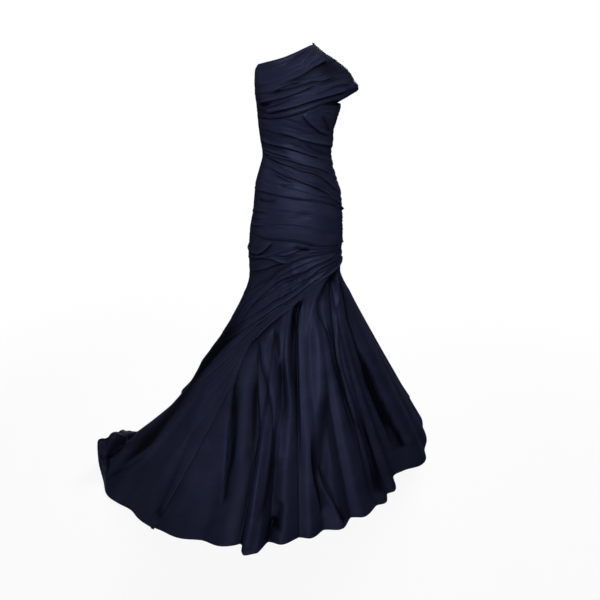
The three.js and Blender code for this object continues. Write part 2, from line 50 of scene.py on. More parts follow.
# The gown is described in millimetres above the floor and in degrees round the wearer's axis: 0 is the
# left side seam (+X), 90 the centre back, 180 the right side seam and 270 the centre front.
MM = 0.001
SHOULDER_REST = np.array([130.0, 0.0, 1463.0])  # the frame's origin, on the inside of the shoulder seam
CLOTH = 2.4  # the backed taffeta's wall
TABLE_FACE = 5.0  # the tables give the outline over the folds, this far outside the inner face
KNEE_HEIGHT = 660.0
FLARE_EASE = 0.12
FLARE_EASE_POWER = 0.35
SECTION_POWER = 2.25
ARMHOLE_HEIGHT = 1285.0
HEM_CLEARANCE = 2.5  # the cloth eases this far up off the floor, below the height that follows
HEM_CLEARANCE_HEIGHT = 100.0
BODY_ROUND = 150.0  # a round radius for the body, and one for the skirt, for lengths along the cloth
SKIRT_ROUND = 420.0
SKIRT_LENGTH = 900.0


def table(kind, *rows):
    """Plain rows as rows with named values."""
    return [kind(*row) for row in rows]


Section = namedtuple("Section", "height left right front back")
SECTIONS = table(
    Section,
    (650, 176, 182, 128, 135),
    (700, 178, 183, 131, 138),
    (740, 178, 184, 133, 141),
    (790, 183, 181, 135, 145),
    (840, 183, 176, 134, 146),
    (900, 181, 165, 130, 142),
    (970, 173, 158, 121, 128),
    (1010, 161, 153, 113, 115),
    (1060, 146, 139, 103, 100),
    (1100, 138, 128, 98, 92),
    (1130, 138, 129, 97, 91),
    (1160, 142, 134, 102, 93),
    (1200, 145, 139, 113, 98),
    (1240, 158, 143, 124, 103),
    (1280, 172, 146, 127, 106),
    (1320, 203, 151, 121, 106),
    (1350, 234, 156, 113, 105),
    (1380, 220, 160, 104, 102),
    (1410, 201, 165, 94, 95),
    (1440, 168, 166, 85, 84),
    (1475, 118, 150, 74, 66),
    (1514, 69, 110, 45, 40),
)

Reach = namedtuple("Reach", "angle reach")
HEM = table(
    Reach,
    (0, 525), (18, 540), (38, 620), (55, 740), (73, 840), (90, 880),
    (111, 840), (126, 745), (141, 640), (160, 575), (178, 590), (188, 665),
    (197, 735), (208, 732), (221, 698), (233, 672), (245, 634), (256, 616),
    (272, 565), (289, 527), (300, 515), (307, 504), (314, 486), (320, 458),
    (326, 474), (332, 514), (337, 526), (343, 515), (350, 525),
)
# The first and last rows once more, a full turn on, so that the hem closes smoothly
CLOSED_HEM = [
    *(row._replace(angle=row.angle - 360) for row in HEM[-2:]), *HEM,
    *(row._replace(angle=row.angle + 360) for row in HEM[:2]),
]
Flare = namedtuple("Flare", "power side back")
FLARE = Flare(1.27, -0.2, 0.05)
Lobe = namedtuple("Lobe", "power angle spread start end")
LOBE = Lobe(0.6, 195, 15, 0.5, 0.8)

# Fold lines, as heights where they cross five stations, and how far the pleat above each stands out
FRONT_STATIONS = (180, 225, 270, 315, 360)
BACK_STATIONS = (0, 45, 90, 135, 180)
Line = namedtuple("Line", "heights lift")
SHOULDER_FRONT_FOLDS = table(
    Line,
    ((1252, 1236, 1248, 1288, 1345), 7),
    ((1268, 1258, 1275, 1306, 1362), 8),
    ((1284, 1288, 1312, 1343, 1385), 5),
    ((1300, 1309, 1330, 1358, 1402), 7),
    ((1322, 1328, 1354, 1376, 1420), 7),
    ((1346, 1358, 1389, 1423, 1453), 8),
    ((1404, 1424, 1452, 1481, 1500), 3),
    ((1418, 1440, 1466, 1494, 1514), 0),
)
BODICE_FRONT_FOLDS = table(
    Line,
    ((1000, 970, 954, 938, 893), 6),
    ((1040, 1014, 987, 956, 911), 4),
    ((1078, 1057, 1022, 977, 929), 6),
    ((1122, 1091, 1056, 1020, 950), 5),
    ((1150, 1116, 1090, 1062, 1008), 6),
    ((1172, 1139, 1122, 1099, 1066), 5),
    ((1208, 1190, 1167, 1150, 1130), 6),
    ((1252, 1236, 1248, 1288, 1345), 0),
)
HIP_FRONT_FOLDS = table(
    Line,
    ((822, 808, 801, 778, 771), 6),
    ((878, 862, 858, 834, 812), 3),
    ((940, 918, 905, 888, 852), 3),
    ((1000, 970, 954, 938, 893), 0),
)
THIGH_FRONT_SHARES = table(  # between the swag's upper edge and the hip wrap, as a share of the way up
    Line,
    ((0, 0, 0, 0, 0), 5),
    ((0.3, 0.24, 0.3, 0.33, 0.33), 6),
    ((0.62, 0.56, 0.6, 0.66, 0.66), 9),
    ((1, 1, 1, 1, 1), 0),
)
SHOULDER_BACK_FOLDS = table(
    Line,
    ((1345, 1264, 1256, 1250, 1252), 6),
    ((1364, 1298, 1284, 1276, 1270), 6),
    ((1396, 1350, 1324, 1306, 1296), 5),
    ((1426, 1386, 1360, 1340, 1328), 6),
    ((1468, 1432, 1400, 1380, 1368), 5),
    ((1514, 1482, 1446, 1424, 1410), 0),
)
BODICE_BACK_FOLDS = table(
    Line,
    ((893, 925, 958, 984, 1000), 5),
    ((950, 982, 1010, 1034, 1050), 5),
    ((1012, 1040, 1062, 1082, 1096), 6),
    ((1072, 1094, 1112, 1128, 1140), 5),
    ((1134, 1150, 1166, 1178, 1186), 5),
    ((1345, 1264, 1256, 1250, 1252), 0),
)
HIP_BACK_FOLDS = table(
    Line,
    ((716, 690, 668, 640, 606), 5),
    ((756, 748, 738, 722, 700), 4),
    ((806, 816, 820, 814, 800), 4),
    ((850, 874, 894, 904, 906), 3),
    ((893, 925, 958, 984, 1000), 0),
)

# The swag: lines that leave the left hip seam together and spread to the train. Up to the turn they have
# heights at fixed angles, and then each runs to its own end on the right seam or on the hem.
SWAG_STATIONS = (232, 247, 275, 305, 335, 360)
SWAG_TURN = 232
SwagLine = namedtuple("SwagLine", "heights end end_height lift")
SWAG_LINES = table(
    SwagLine,
    ((660, 695, 731, 748, 757, 762), 180, 560, 8),
    ((604, 638, 671, 713, 748, 755), 180, 452, 8),
    ((556, 594, 636, 681, 722, 744), 180, 392, 7),
    ((525, 567, 616, 662, 700, 733), 180, 318, 5),
    ((508, 557, 611, 659, 697, 730), 180, 150, 3),
    ((500, 552, 608, 657, 695, 728), 180, 0, 2),
    ((491, 547, 605, 655, 693, 726), 190, 0, 2),
    ((482, 542, 602, 653, 691, 724), 200, 0, 2),
    ((472, 536, 598, 651, 689, 722), 211, 0, 3),
    ((462, 530, 594, 649, 687, 720), 221, 0, 3),
    ((452, 523, 590, 646, 686, 718), 231, 0, 0),
)
SWAG_EDGE_LIFT = 7
SWAG_SWEEP = 1.08
SWAG_COLUMNS = (
    360, 352, 344, 335, 325, 315, 305, 295, 285, 275, 265.5, 256, 247, 239.5, 232,
    223.3, 214.7, 206, 197.3, 188.7, 180,
)
TURN_COLUMN = SWAG_COLUMNS.index(SWAG_TURN)
LAST_COLUMN = len(SWAG_COLUMNS) - 1
HemWave = namedtuple("HemWave", "angle spread out up")
HEM_WAVES = table(HemWave, (187, 3, 8, 6), (197, 4.5, 14, 22), (212, 4, 10, 0), (221, 3, -8, 0))
HEM_WAVE_HEIGHT = 260
HEM_WAVE_FADE = 4
Curl = namedtuple("Curl", "angle spread radius height")
CURL = Curl(195, 6.5, 40, 120)  # the lobe's hem rolls out and up on itself
CURL_TURNS = np.radians(np.arange(15, 286, 15))
SWAG_GRID_COLUMNS = 300
HELD_COLUMN = 12  # up to here the swag's pleats are held firm, and over the next five columns they open
OPENING_COLUMNS = 5
COLUMN_ROUND = 42  # a round width for a column, for lengths along the swag
SWAG_EDGE_SAMPLES = 170
HELD_LIFT = 1.6  # how much higher and darker the swag's pleats are where they are held
HELD_SHADE = 3
FAR_SHARE = 0.6  # and the share of their relief that they keep at the far end
SWAG_ROW = 5.5
FEWEST_ROWS, MOST_ROWS = 12, 22  # between two swag lines
ROW_POWER = 1.35  # gathers a pleat's rows towards its lip
EDGE_HIGHLIGHT = 0.5  # the swag's lower edge gets a painted highlight, over this far, and stands out over the next
EDGE_HIGHLIGHT_REACH = 12
EDGE_REACH = 14

# Flutes: where each crest or valley leaves the swag, where it meets the hem, and its push out or in
Flute = namedtuple("Flute", "start hem push")
FRONT_FLUTES = table(
    Flute,
    (360, 360, 0), (356, 349, 0), (350, 340, 0), (345, 331, 0),
    (341, 324, 0), (338, 319, -3), (334, 313, 9), (330, 309, -9),
    (326, 305.5, 7), (320, 301.5, -5), (312, 295, 8), (303, 290, -12),
    (296, 285.5, 12), (288, 279.5, -8), (280, 275.5, 6), (270, 271.5, -9),
    (264, 267, 2), (258, 262.5, -18), (254, 260, 18), (250, 257.5, 22),
    (247, 254.8, -12), (241, 249, 1), (237, 244.5, -6), (234, 238.5, 2),
    (233, 232.8, -5), (231, 229.4, -5),
)
BACK_HEMS = (0, 8, 15, 24, 32, 41, 49, 59, 69, 80, 90, 100, 109, 118, 126, 135, 143, 151, 160, 169, 180)
BACK_PUSHES = (
    0, 16, -16, 22, -20, 18, -26, 24, -18, 26, -24, 22, -22, 28, -22, 20, -24, 22, -16, 16, 0,
)
BACK_FLUTES = [Flute(hem, hem, push) for hem, push in zip(BACK_HEMS, BACK_PUSHES)]
FRONT_GORES = {"skirt_front_left": (0, 15), "skirt_front_right": (15, 25)}
BACK_GORES = {
    "skirt_back_side_left": (0, 6),
    "skirt_train_left": (6, 10),
    "skirt_train_right": (10, 14),
    "skirt_back_side_right": (14, 20),
}
Grid = namedtuple("Grid", "per_flute rows seed")
FRONT_GRID = Grid(13, 190, 60)
BACK_GRID = Grid(16, 130, 70)
FLUTE_TURN = 3
DEEP_FLUTE = 30.0  # from this push on, a valley is in full shade and a crest in full light
FLUTE_SHADE = 0.7
FLUTE_LIGHT = 0.2
FLUTE_SHARPNESS = 0.4
SEAM_DEGREES = 1.2  # within this angle of a side seam, a gore's relief fades out
Tuck = namedtuple("Tuck", "height depth share flutes")
TUCK = Tuck(6, 3.5, 0.1, 1.5)

# The drape's right edge turns back from the side seam for the armhole, by degrees, above this share of it
FRONT_ARMHOLE_TURN = 23
BACK_ARMHOLE_TURN = -34
ARMHOLE_START = 0.2
Drop = namedtuple("Drop", "angle spread depth")
UNDER_ARM = Drop(341, 13, 13)

# Each wrap's fold lines, the spacing of its rows in millimetres, how wrinkled it is, its seed, and whether
# its upper edge is tucked under the panel above
Wrap = namedtuple("Wrap", "rows step wrinkled seed tucked")
WRAPS = {
    "shoulder_drape_front": Wrap(SHOULDER_FRONT_FOLDS, 2.6, 1.0, 11, False),
    "shoulder_drape_back": Wrap(SHOULDER_BACK_FOLDS, 4.0, 1.0, 21, False),
    "bodice_front": Wrap(BODICE_FRONT_FOLDS, 2.6, 1.0, 12, True),
    "bodice_back": Wrap(BODICE_BACK_FOLDS, 4.0, 1.0, 22, True),
    "hip_wrap_front": Wrap(HIP_FRONT_FOLDS, 2.6, 0.3, 13, True),
    "hip_wrap_back": Wrap(HIP_BACK_FOLDS, 4.0, 1.0, 23, True),
    "thigh_wrap_front": Wrap(THIGH_FRONT_SHARES, 3.0, 1.0, 14, True),
}
RIGHT_SEAM = 180
SEWN_ANGLE = 186  # from the right seam to here, the front's pleats are sewn down
FRONT_COLUMNS = 210
BACK_COLUMNS = 110
SEAM_SINK = -1.0
FRONT_SEAM_FADE = (8.0, 30.0)  # how far from its left and right seam a panel's relief grows
BACK_SEAM_FADE = (8.0, 12.0)
DROOP_FADE = (12.0, 12.0)
LOWEST_LIFT = 0.45  # shares of the tables' lifts that the front keeps, where single folds do the rest
FRONT_LIFT = 0.3
BACK_LIFT = 0.75
TUCKED = -3.8  # a tucked edge lies this far in, over this much of its height, with two rows behind
TUCK_EASE = 5.0
TUCK_ROWS = (4.0, 9.0)
WIDE_PLEAT = 30.0  # from this width on, a pleat's fold line strays in full

# A value that grows away from a seam, from a start to an end over a length
Growth = namedtuple("Growth", "start end length")
FRONT_GROWTH = Growth(0.12, 1, 110)
BACK_GROWTH = Growth(0.15, 0.8, 90)
TUCK_GROWTH = Growth(-2.0, TUCKED, 60)
SWAG_GROWTH = Growth(0.3, 1, 7)  # in columns, back from the one that follows
SWAG_FLAT_COLUMN = 18.5

# Uneven cloth: its strength, and the length of one swell along a piece's first and second direction. A
# wrap and the swag are measured along their folds and across them, and a gore round the hem and down.
Swell = namedtuple("Swell", "size first second")
PLEAT_CHANGE = Swell(0.35, 60, 1)
PLEAT_SHIFT = 420  # so that one pleat's swells don't line up with the next one's
LINE_WANDER = Swell(1.6, 45, 1)
WRAP_WRINKLES = Swell(1.0, 70, 8)
WRAP_CRINKLES = Swell(0.35, 34, 4.5)
PUCKERS = Swell(2.4, 6.5, 40)  # along the left seam, and how far they reach
PUCKER_REACH = 24.0
SWAG_CHANGE = Swell(0.3, 1 / 1.3, 1)  # in columns
SWAG_SHIFT = 5 / 1.3
SWAG_SWELLS = Swell(1.2, 140, 30)
SWAG_WRINKLES = Swell(1.0, 110, 9)
GORE_SWELLS = Swell(1.6, 44, 260)
GORE_CRINKLES = Swell(0.25, 14, 130)
BACK_SWELLS = Swell(2.0, 26, 420)
FLUTE_CHANGE = Swell(0.45, 2.3, 1 / 2.2)  # in flutes and in shares of the way down
LOBE_CHANGE = Swell(0.4, 2.1, 1)
WRINKLE_SHADE = 0.14
WRAP_WRINKLE_RISE = 1.1
SWAG_WRINKLE_RISE = 0.9
SEEDS = {"swag lift": 41, "swag swells": 51, "swag wrinkles": 52, "lobe": 53, "curl": 54, "back flutes": 71}

# The photograph's camera, in the gown's own millimetres, and its picture
CAMERA_PLACE = np.array([17.3, -1800.0, 1150.0])
CAMERA_PITCH = np.radians(8.0)
FOCAL_PIXELS = 473.8
PICTURE = 600
PICTURE_CENTRE = (300.0, 210.0)  # where the lens axis meets the picture
RAY_LENGTHS = np.arange(900.0, 2400.0, 2.0)  # distances from the camera at which cloth is looked for

# Single folds, followed in the photograph's pixels. A lip falls over its line from above, a valley and a
# ridge are sharp and round, a trough is a wide soft valley, and beyond a roll the cloth bends away. At an
# overlap the cloth on the right of the line, seen along it, lies over the cloth on its left. Depth and
# width are in millimetres, and the fades are shares of the length.
Fold = namedtuple("Fold", "kind depth width fade_in fade_out points")


def fold_rows(*rows):
    """Folds from plain rows: the kind, depth, width and fades, and then x, y, x, y along the line."""
    return [Fold(*row[:5], np.reshape(row[5:], (-1, 2))) for row in rows]


DEEP_FOLD = 5.0  # from this depth on, a fold's inside is in full shade
SHADE_RANGE = (-0.5, 1.0)  # from a crest with a painted highlight to the painted shade at the bottom of a fold
CREST_LIGHT = {"ridge": 0.4, "overlap": 0.3, "lip": 0.35, "pleat": 0.3}
PAINTED_HIGHLIGHT_SCALE = 1.6  # the colour's scale for the painted highlight on a crest, and for the painted shade in the bottom of a fold
PAINTED_SHADE_SCALE = 0.03
INNER_SHADE = {"trough": 0.8, "overlap": 1.3, "roll": 0.6}
FOLD_REACH = 4  # widths from its line within which a fold counts, and the same for a roll
ROLL_REACH = 8
FOLD_SAMPLES = 24  # places along a fold for each of its points
SHORTEST_FADE = 0.01
LIP_ROUND = 2.4
OVERLAP_ROUND = 0.9
OVERLAP_REACH = 30.0
# A pleat's section: how far its lip is rounded, its crest, its crease, the shadow in it and its droop
PLEAT_LIP = 2.2
PLEAT_CREST = 4.0
PLEAT_CREASE = 2.0
PLEAT_SHADOW = 3.5
PLEAT_DROOP = 3.0
STEEPEST_PLEAT = 0.4  # a pleat's lift is at most this share of its width
LIP_ROWS = np.array([0, 0.9, 1.9, 3.1, 4.6, 6.4])
NARROW_PLEAT = 14
NARROW_STEP = 1.6
HEM_TURNS = np.radians([50, 100, 140, 180])
EDGE_ROWS = 3  # an edge's direction is taken from this many rows further in, and evened out this often
HEM_EVENING = 3
SEAM_EVENING = 4
SEAM_LEAN = 0.3  # how far a bent seam edge also leans towards the axis
LATTICE = (97, 89)  # prime, so that the noise's two directions don't repeat together
LEVEL = np.array([1, 1, 0])
UPWARDS = np.array([0, 0, 1])

BODY_FOLDS = fold_rows(
    # neckline and shoulder
    ("ridge", 4.0, 5, 0.2, 0.4, 314, 50, 305, 59, 300, 66),
    ("valley", 3.5, 4, 0.2, 0.4, 309, 50, 300, 55, 289, 62, 279, 70),
    ("ridge", 4.0, 7, 0.2, 0.4, 320, 55, 311, 62, 302, 72),
    ("valley", 3.5, 5, 0.2, 0.4, 318, 60, 308, 66, 298, 71, 286, 75),
    ("lip", 7.0, 13, 0.03, 0.4, 327, 61, 316, 67, 303, 75, 289, 81, 273, 84),
    ("trough", 9.0, 26, 0.45, 0.45, 318, 79, 331, 70, 345, 64),
    # across the bust
    ("lip", 8.5, 13, 0.15, 0.2, 340, 76, 324, 81, 313, 82, 303, 85, 289, 89, 276, 92, 264, 96),
    ("lip", 6.5, 8, 0.25, 0.25, 303, 83, 292, 84, 283, 88, 272, 93),
    ("lip", 8.5, 11, 0.15, 0.1, 317, 85, 306, 90, 296, 94, 285, 98, 272, 101, 258, 105),
    ("valley", 4.0, 5, 0.2, 0.3, 258, 105, 265, 105, 273, 103),
    ("lip", 5.5, 8, 0.3, 0.3, 300, 96, 288, 101, 274, 106, 262, 109),
    ("lip", 7.0, 16, 0.05, 0.2, 347, 92, 328, 97, 311, 102, 293, 108, 273, 113, 264, 114),
    ("lip", 4.0, 10, 0.1, 0.3, 352, 84, 338, 86, 322, 92, 308, 96),
    ("valley", 4.0, 5, 0.2, 0.4, 257, 109, 261, 111, 267, 112),
    # under the bust
    ("lip", 6.5, 10, 0.15, 0.2, 302, 114, 306, 121, 315, 129, 323, 134, 331, 136),
    ("valley", 4.0, 7, 0.3, 0.2, 322, 114, 326, 123, 331, 134),
    ("lip", 3.5, 5, 0.3, 0.3, 332, 72, 316, 77, 302, 80, 288, 85),
    ("lip", 3.5, 4, 0.3, 0.3, 322, 90, 306, 94, 290, 99, 276, 103),
    ("valley", 3.0, 4, 0.3, 0.3, 310, 79, 296, 80, 282, 86, 268, 91),
    # waist
    ("valley", 2.5, 4, 0.2, 0.3, 259, 143, 268, 148, 280, 151, 294, 155),
    ("valley", 3.0, 4, 0.3, 0.2, 284, 142, 298, 147, 314, 153, 330, 157),
    ("lip", 3.0, 4, 0.2, 0.3, 262, 152, 275, 160, 288, 163, 300, 168, 312, 172),
    ("valley", 3.0, 4, 0.2, 0.3, 290, 164, 304, 168, 318, 172, 331, 178),
    ("lip", 3.5, 4, 0.2, 0.2, 272, 163, 288, 171, 302, 176, 316, 181, 330, 190),
    ("valley", 2.5, 4, 0.2, 0.2, 300, 177, 314, 183, 328, 190, 338, 199),
    ("lip", 6.5, 10, 0.25, 0.1, 276, 133, 289, 136, 303, 141, 325, 146, 333, 147),
    ("lip", 5.5, 8, 0.1, 0.2, 258, 138, 271, 145, 285, 148, 299, 152, 311, 156, 325, 160),
    ("lip", 4.0, 7, 0.1, 0.3, 260, 147, 272, 153, 282, 156, 294, 158),
    ("valley", 3.5, 5, 0.2, 0.1, 305, 145, 316, 151, 331, 156),
    ("lip", 6.5, 8, 0.1, 0.15, 261, 150, 277, 158, 290, 161, 302, 165, 322, 170, 334, 178),
    ("lip", 7.0, 9, 0.1, 0.1, 264, 154, 279, 163, 288, 166, 301, 171, 316, 175, 327, 182, 341, 197),
    ("lip", 7.5, 7, 0.15, 0.1, 269, 167, 282, 175, 297, 181, 313, 187, 324, 192, 333, 198),
    ("lip", 5.5, 6, 0.2, 0.15, 280, 171, 294, 178, 308, 183, 322, 190),
    ("lip", 5.0, 7, 0.2, 0.4, 274, 174, 287, 181, 298, 182),
    ("valley", 3.0, 5, 0.3, 0.4, 277, 185, 285, 186, 295, 186),
    ("lip", 4.0, 6, 0.3, 0.1, 318, 196, 328, 197, 336, 201, 342, 206),
    # hips
    ("lip", 4.0, 6, 0.05, 0.4, 254, 188, 261, 192, 265, 193),
    ("valley", 3.5, 5, 0.1, 0.4, 258, 200, 270, 202, 278, 201),
    ("lip", 5.0, 5, 0.02, 0.5, 250, 211, 260, 212, 269, 214),
    ("lip", 3.5, 5, 0.02, 0.5, 251, 218, 257, 219, 265, 219),
    ("lip", 5.0, 5, 0.02, 0.5, 250, 225, 258, 226, 268, 226),
    ("trough", 1.5, 14, 0.3, 0.3, 288, 224, 300, 217, 312, 214),
    ("lip", 8.5, 12, 0.05, 0.25, 246, 246, 250, 252, 257, 255, 264, 252, 270, 246, 272, 241),
    ("lip", 5.5, 8, 0.05, 0.3, 248, 257, 266, 259, 279, 263, 287, 264),
    ("lip", 5.0, 8, 0.2, 0.3, 274, 256, 287, 256, 298, 252, 306, 247),
    ("trough", 5.5, 9, 0.3, 0.3, 292, 247, 303, 251, 311, 250),
    ("lip", 5.0, 7, 0.1, 0.3, 252, 272, 266, 269, 278, 265, 288, 264),
)
TRAIN_ROLL = fold_rows(  # crosses from the swag to the gore behind it
    ("roll", 12.0, 26, 0.25, 0.1, 250, 328, 240, 334, 226, 346, 209, 365, 192, 387, 180, 406, 166, 425,
     152, 444, 133, 458, 109, 472),
)
SWAG_FOLDS = fold_rows(
    ("lip", 7.5, 8, 0.05, 0.1, 336, 254, 316, 264, 304, 271, 291, 276, 279, 282, 266, 293, 250, 308,
     232, 332),
    ("lip", 7.0, 7, 0.05, 0.2, 338, 257, 322, 267, 310, 276, 297, 284, 287, 290, 276, 298, 256, 314),
    ("lip", 7.0, 6, 0.05, 0.15, 339, 260, 327, 270, 316, 281, 304, 290, 294, 298, 282, 308),
    ("lip", 5.0, 5, 0.05, 0.3, 338, 255, 326, 262, 314, 270, 300, 279, 290, 285),
    ("lip", 4.0, 6, 0.1, 0.3, 330, 255, 312, 261, 296, 268, 282, 275, 270, 284),
    ("lip", 4.0, 7, 0.3, 0.2, 282, 270, 268, 282, 254, 294, 240, 309, 230, 324),
    ("ridge", 10.0, 14, 0.3, 0.2, 196, 392, 184, 410, 170, 430, 154, 450, 132, 465, 110, 479),
    ("valley", 6.0, 7, 0.2, 0.2, 152, 452, 132, 466, 116, 474, 105, 479),
    ("ridge", 7.0, 30, 0.3, 0.3, 223, 360, 204, 398, 190, 434, 173, 467, 161, 496),
    ("valley", 3.0, 8, 0.3, 0.1, 200, 420, 188, 446, 176, 474, 164, 500, 156, 516),
    ("valley", 6.0, 5, 0.1, 0.1, 156, 510, 159, 517, 163, 525),
    ("valley", 5.0, 4, 0.1, 0.1, 168, 507, 163, 513, 157, 519),
)
SKIRT_FOLDS = fold_rows(
    # from the gather at the left hip
    ("ridge", 5.0, 9, 0.05, 0.3, 330, 276, 316, 296, 309, 318, 307, 345),
    ("valley", 7.0, 6, 0.05, 0.3, 334, 274, 320, 304, 328, 335, 335, 365, 345, 404, 353, 430, 361, 463),
    ("valley", 6.0, 6, 0.05, 0.3, 338, 272, 331, 289, 334, 327, 340, 373, 353, 414, 369, 445),
    ("ridge", 5.5, 7, 0.05, 0.3, 339, 272, 338, 286, 336, 311, 337, 335, 343, 372),
    ("valley", 4.0, 6, 0.05, 0.3, 341, 272, 343, 290, 350, 320, 361, 352),
    ("overlap", 11.0, 18, 0.02, 0.4, 408, 447, 400, 432, 391, 415, 381, 394, 372, 372, 361, 350, 352, 330),
    ("trough", 6.0, 18, 0.3, 0.2, 362, 362, 372, 386, 382, 408, 394, 432),
    ("valley", 4.5, 4, 0.05, 0.2, 340, 276, 347, 310, 357, 345, 370, 382, 386, 425, 398, 462),
    ("valley", 4.0, 4, 0.1, 0.1, 336, 330, 346, 374, 359, 414, 373, 452, 383, 488),
    ("valley", 3.5, 4, 0.1, 0.1, 326, 318, 336, 352, 348, 396, 358, 434, 366, 472, 372, 502),
    ("ridge", 5.0, 18, 0.2, 0.2, 350, 300, 372, 345, 392, 386, 410, 422, 421, 446),
    # the dark valley below the swag's edge and the broad lit panel beside it
    ("overlap", 12.0, 12, 0.3, 0.1, 300, 473, 300, 430, 299, 394, 298, 350, 298, 318, 303, 298),
    ("trough", 9.0, 14, 0.2, 0.3, 300, 300, 294, 325, 291, 350, 292, 380, 295, 410),
    ("ridge", 12.0, 34, 0.2, 0.3, 318, 310, 321, 345, 318, 385, 314, 430, 310, 470),
    ("trough", 10.0, 22, 0.3, 0.2, 328, 386, 324, 417, 324, 450, 328, 485),
    ("overlap", 9.0, 11, 0.3, 0.1, 312, 420, 311, 452, 314, 480, 319, 500, 322, 515),
    ("overlap", 8.0, 9, 0.2, 0.02, 318, 464, 324, 486, 333, 502, 343, 524),
    ("trough", 6.0, 18, 0.3, 0.1, 362, 410, 371, 445, 378, 480, 382, 494),
    ("valley", 4.0, 6, 0.3, 0.1, 349, 390, 362, 432, 372, 470, 378, 496),
    # left of the middle, from the swag's lower edge
    ("valley", 6.0, 8, 0.1, 0.1, 258, 336, 260, 362, 267, 391, 272, 415, 274, 440, 271, 468, 266, 498,
     260, 524),
    ("ridge", 7.0, 14, 0.1, 0.1, 262, 334, 265, 360, 272, 388, 277, 414, 278, 440, 276, 468),
    ("trough", 11.0, 16, 0.15, 0.2, 275, 326, 276, 350, 281, 374, 284, 402, 283, 432),
    ("ridge", 8.0, 20, 0.15, 0.2, 287, 320, 286, 350, 290, 390, 290, 430, 288, 470),
    ("overlap", 12.0, 13, 0.02, 0.2, 241, 553, 245, 522, 250, 490, 255, 458, 259, 430, 258, 399, 257,
     366, 257, 350),
    ("trough", 8.0, 16, 0.3, 0.2, 256, 362, 252, 394, 250, 430, 247, 475),
    ("ridge", 8.0, 12, 0.3, 0.1, 264, 400, 263, 440, 258, 480, 253, 520, 248, 548),
    ("overlap", 10.0, 12, 0.3, 0.1, 240, 366, 232, 386, 229, 415, 226, 453, 223, 487, 221, 508),
    ("trough", 6.0, 12, 0.3, 0.3, 237, 380, 235, 415, 231, 453, 226, 487),
    ("ridge", 5.0, 20, 0.3, 0.3, 246, 352, 243, 395, 240, 440, 234, 480),
    ("ridge", 4.0, 40, 0.3, 0.3, 219, 410, 206, 450, 194, 490, 186, 520),
    ("valley", 8.0, 7, 0.3, 0.02, 275, 520, 270, 532, 266, 546),
    ("trough", 5.0, 16, 0.3, 0.02, 283, 500, 279, 515, 275, 534),
)

FLOOR_HALF = 14.0
FLOOR_CENTRE = (-0.2, 0.1)

# What each piece was cut to, in metres, for what of it shows, and the panel that holds its lower edge
Cut = namedtuple("Cut", "flat area rests_on")


def lerp(a, b, share):
    return a + (b - a) * share


def clamp(x):
    return np.clip(x, 0.0, 1.0)


def ease(x):
    x = clamp(x)
    return x * x * (3 - 2 * x)


def column(rows, name):
    return [getattr(row, name) for row in rows]


def smooth(xs, ys, x):
    """A smooth curve through (xs, ys), with each point's slope taken from its neighbours."""
    xs = np.asarray(xs, float)
    ys = np.asarray(ys, float)
    here = np.arange(len(xs))
    before = np.maximum(here - 1, 0)
    after = np.minimum(here + 1, len(xs) - 1)
    slopes = (ys[after] - ys[before]) / (xs[after] - xs[before])
    x = np.clip(x, xs[0], xs[-1])
    i = np.clip(np.searchsorted(xs, x, side="right") - 1, 0, len(xs) - 2)
    h = xs[i + 1] - xs[i]
    t = (x - xs[i]) / h
    t2 = t * t
    t3 = t2 * t
    ends = (2 * t3 - 3 * t2 + 1) * ys[i] + (3 * t2 - 2 * t3) * ys[i + 1]
    return ends + (t3 - 2 * t2 + t) * h * slopes[i] + (t3 - t2) * h * slopes[i + 1]


def height_on(line, stations, angle):
    return smooth(stations, line.heights, angle)


def sheath_radius(angle, height):
    """The body's outline over the folds, without the flare."""
    cosine = np.cos(np.radians(angle))
    sine = np.sin(np.radians(angle))
    at = np.maximum(height, SECTIONS[0].height)
    heights = column(SECTIONS, "height")
    left, right, front, back = (smooth(heights, column(SECTIONS, side), at) for side in Section._fields[1:])
    width = np.where(cosine >= 0, left, right)
    depth = np.where(sine < 0, front, back)
    total = np.abs(cosine / width) ** SECTION_POWER + np.abs(sine / depth) ** SECTION_POWER
    return total ** (-1 / SECTION_POWER)


def bell(x, middle, width):
    """1 at the middle, and towards 0 on both sides."""
    return np.exp(-(((x - middle) / width) ** 2))


def falloff(away, width, power=1):
    """1 on a line, and towards 0 away from it."""
    return np.exp(-((away / width) ** power))


def body_arc(degrees):
    """Millimetres along the body's cloth for an angle."""
    return degrees * np.radians(1) * BODY_ROUND


def cloth_radius(angle, height):
    """The outline over the folds: the sheath, blended out to the hem below the knee."""
    around = np.mod(angle, 360)
    hem = smooth(column(CLOSED_HEM, "angle"), column(CLOSED_HEM, "reach"), around)
    fall = clamp((KNEE_HEIGHT - height) / KNEE_HEIGHT)
    near = bell(around, LOBE.angle, LOBE.spread)
    lobe = LOBE.power * near * clamp((fall - LOBE.start) / (LOBE.end - LOBE.start))
    turn = FLARE.side * np.cos(np.radians(angle)) + FLARE.back * np.sin(np.radians(angle))
    share = fall ** (FLARE.power + turn + lobe) * clamp(fall / FLARE_EASE) ** FLARE_EASE_POWER
    return lerp(sheath_radius(angle, height), hem, share)


def place(angle, height, out):
    """Points in the frame, in metres, for cloth this far outside the inner face."""
    radius = cloth_radius(angle, height) - TABLE_FACE + out
    turn = np.radians(angle)
    spots = np.stack([radius * np.cos(turn), radius * np.sin(turn), height + 0 * radius], -1)
    return (spots - SHOULDER_REST) * MM


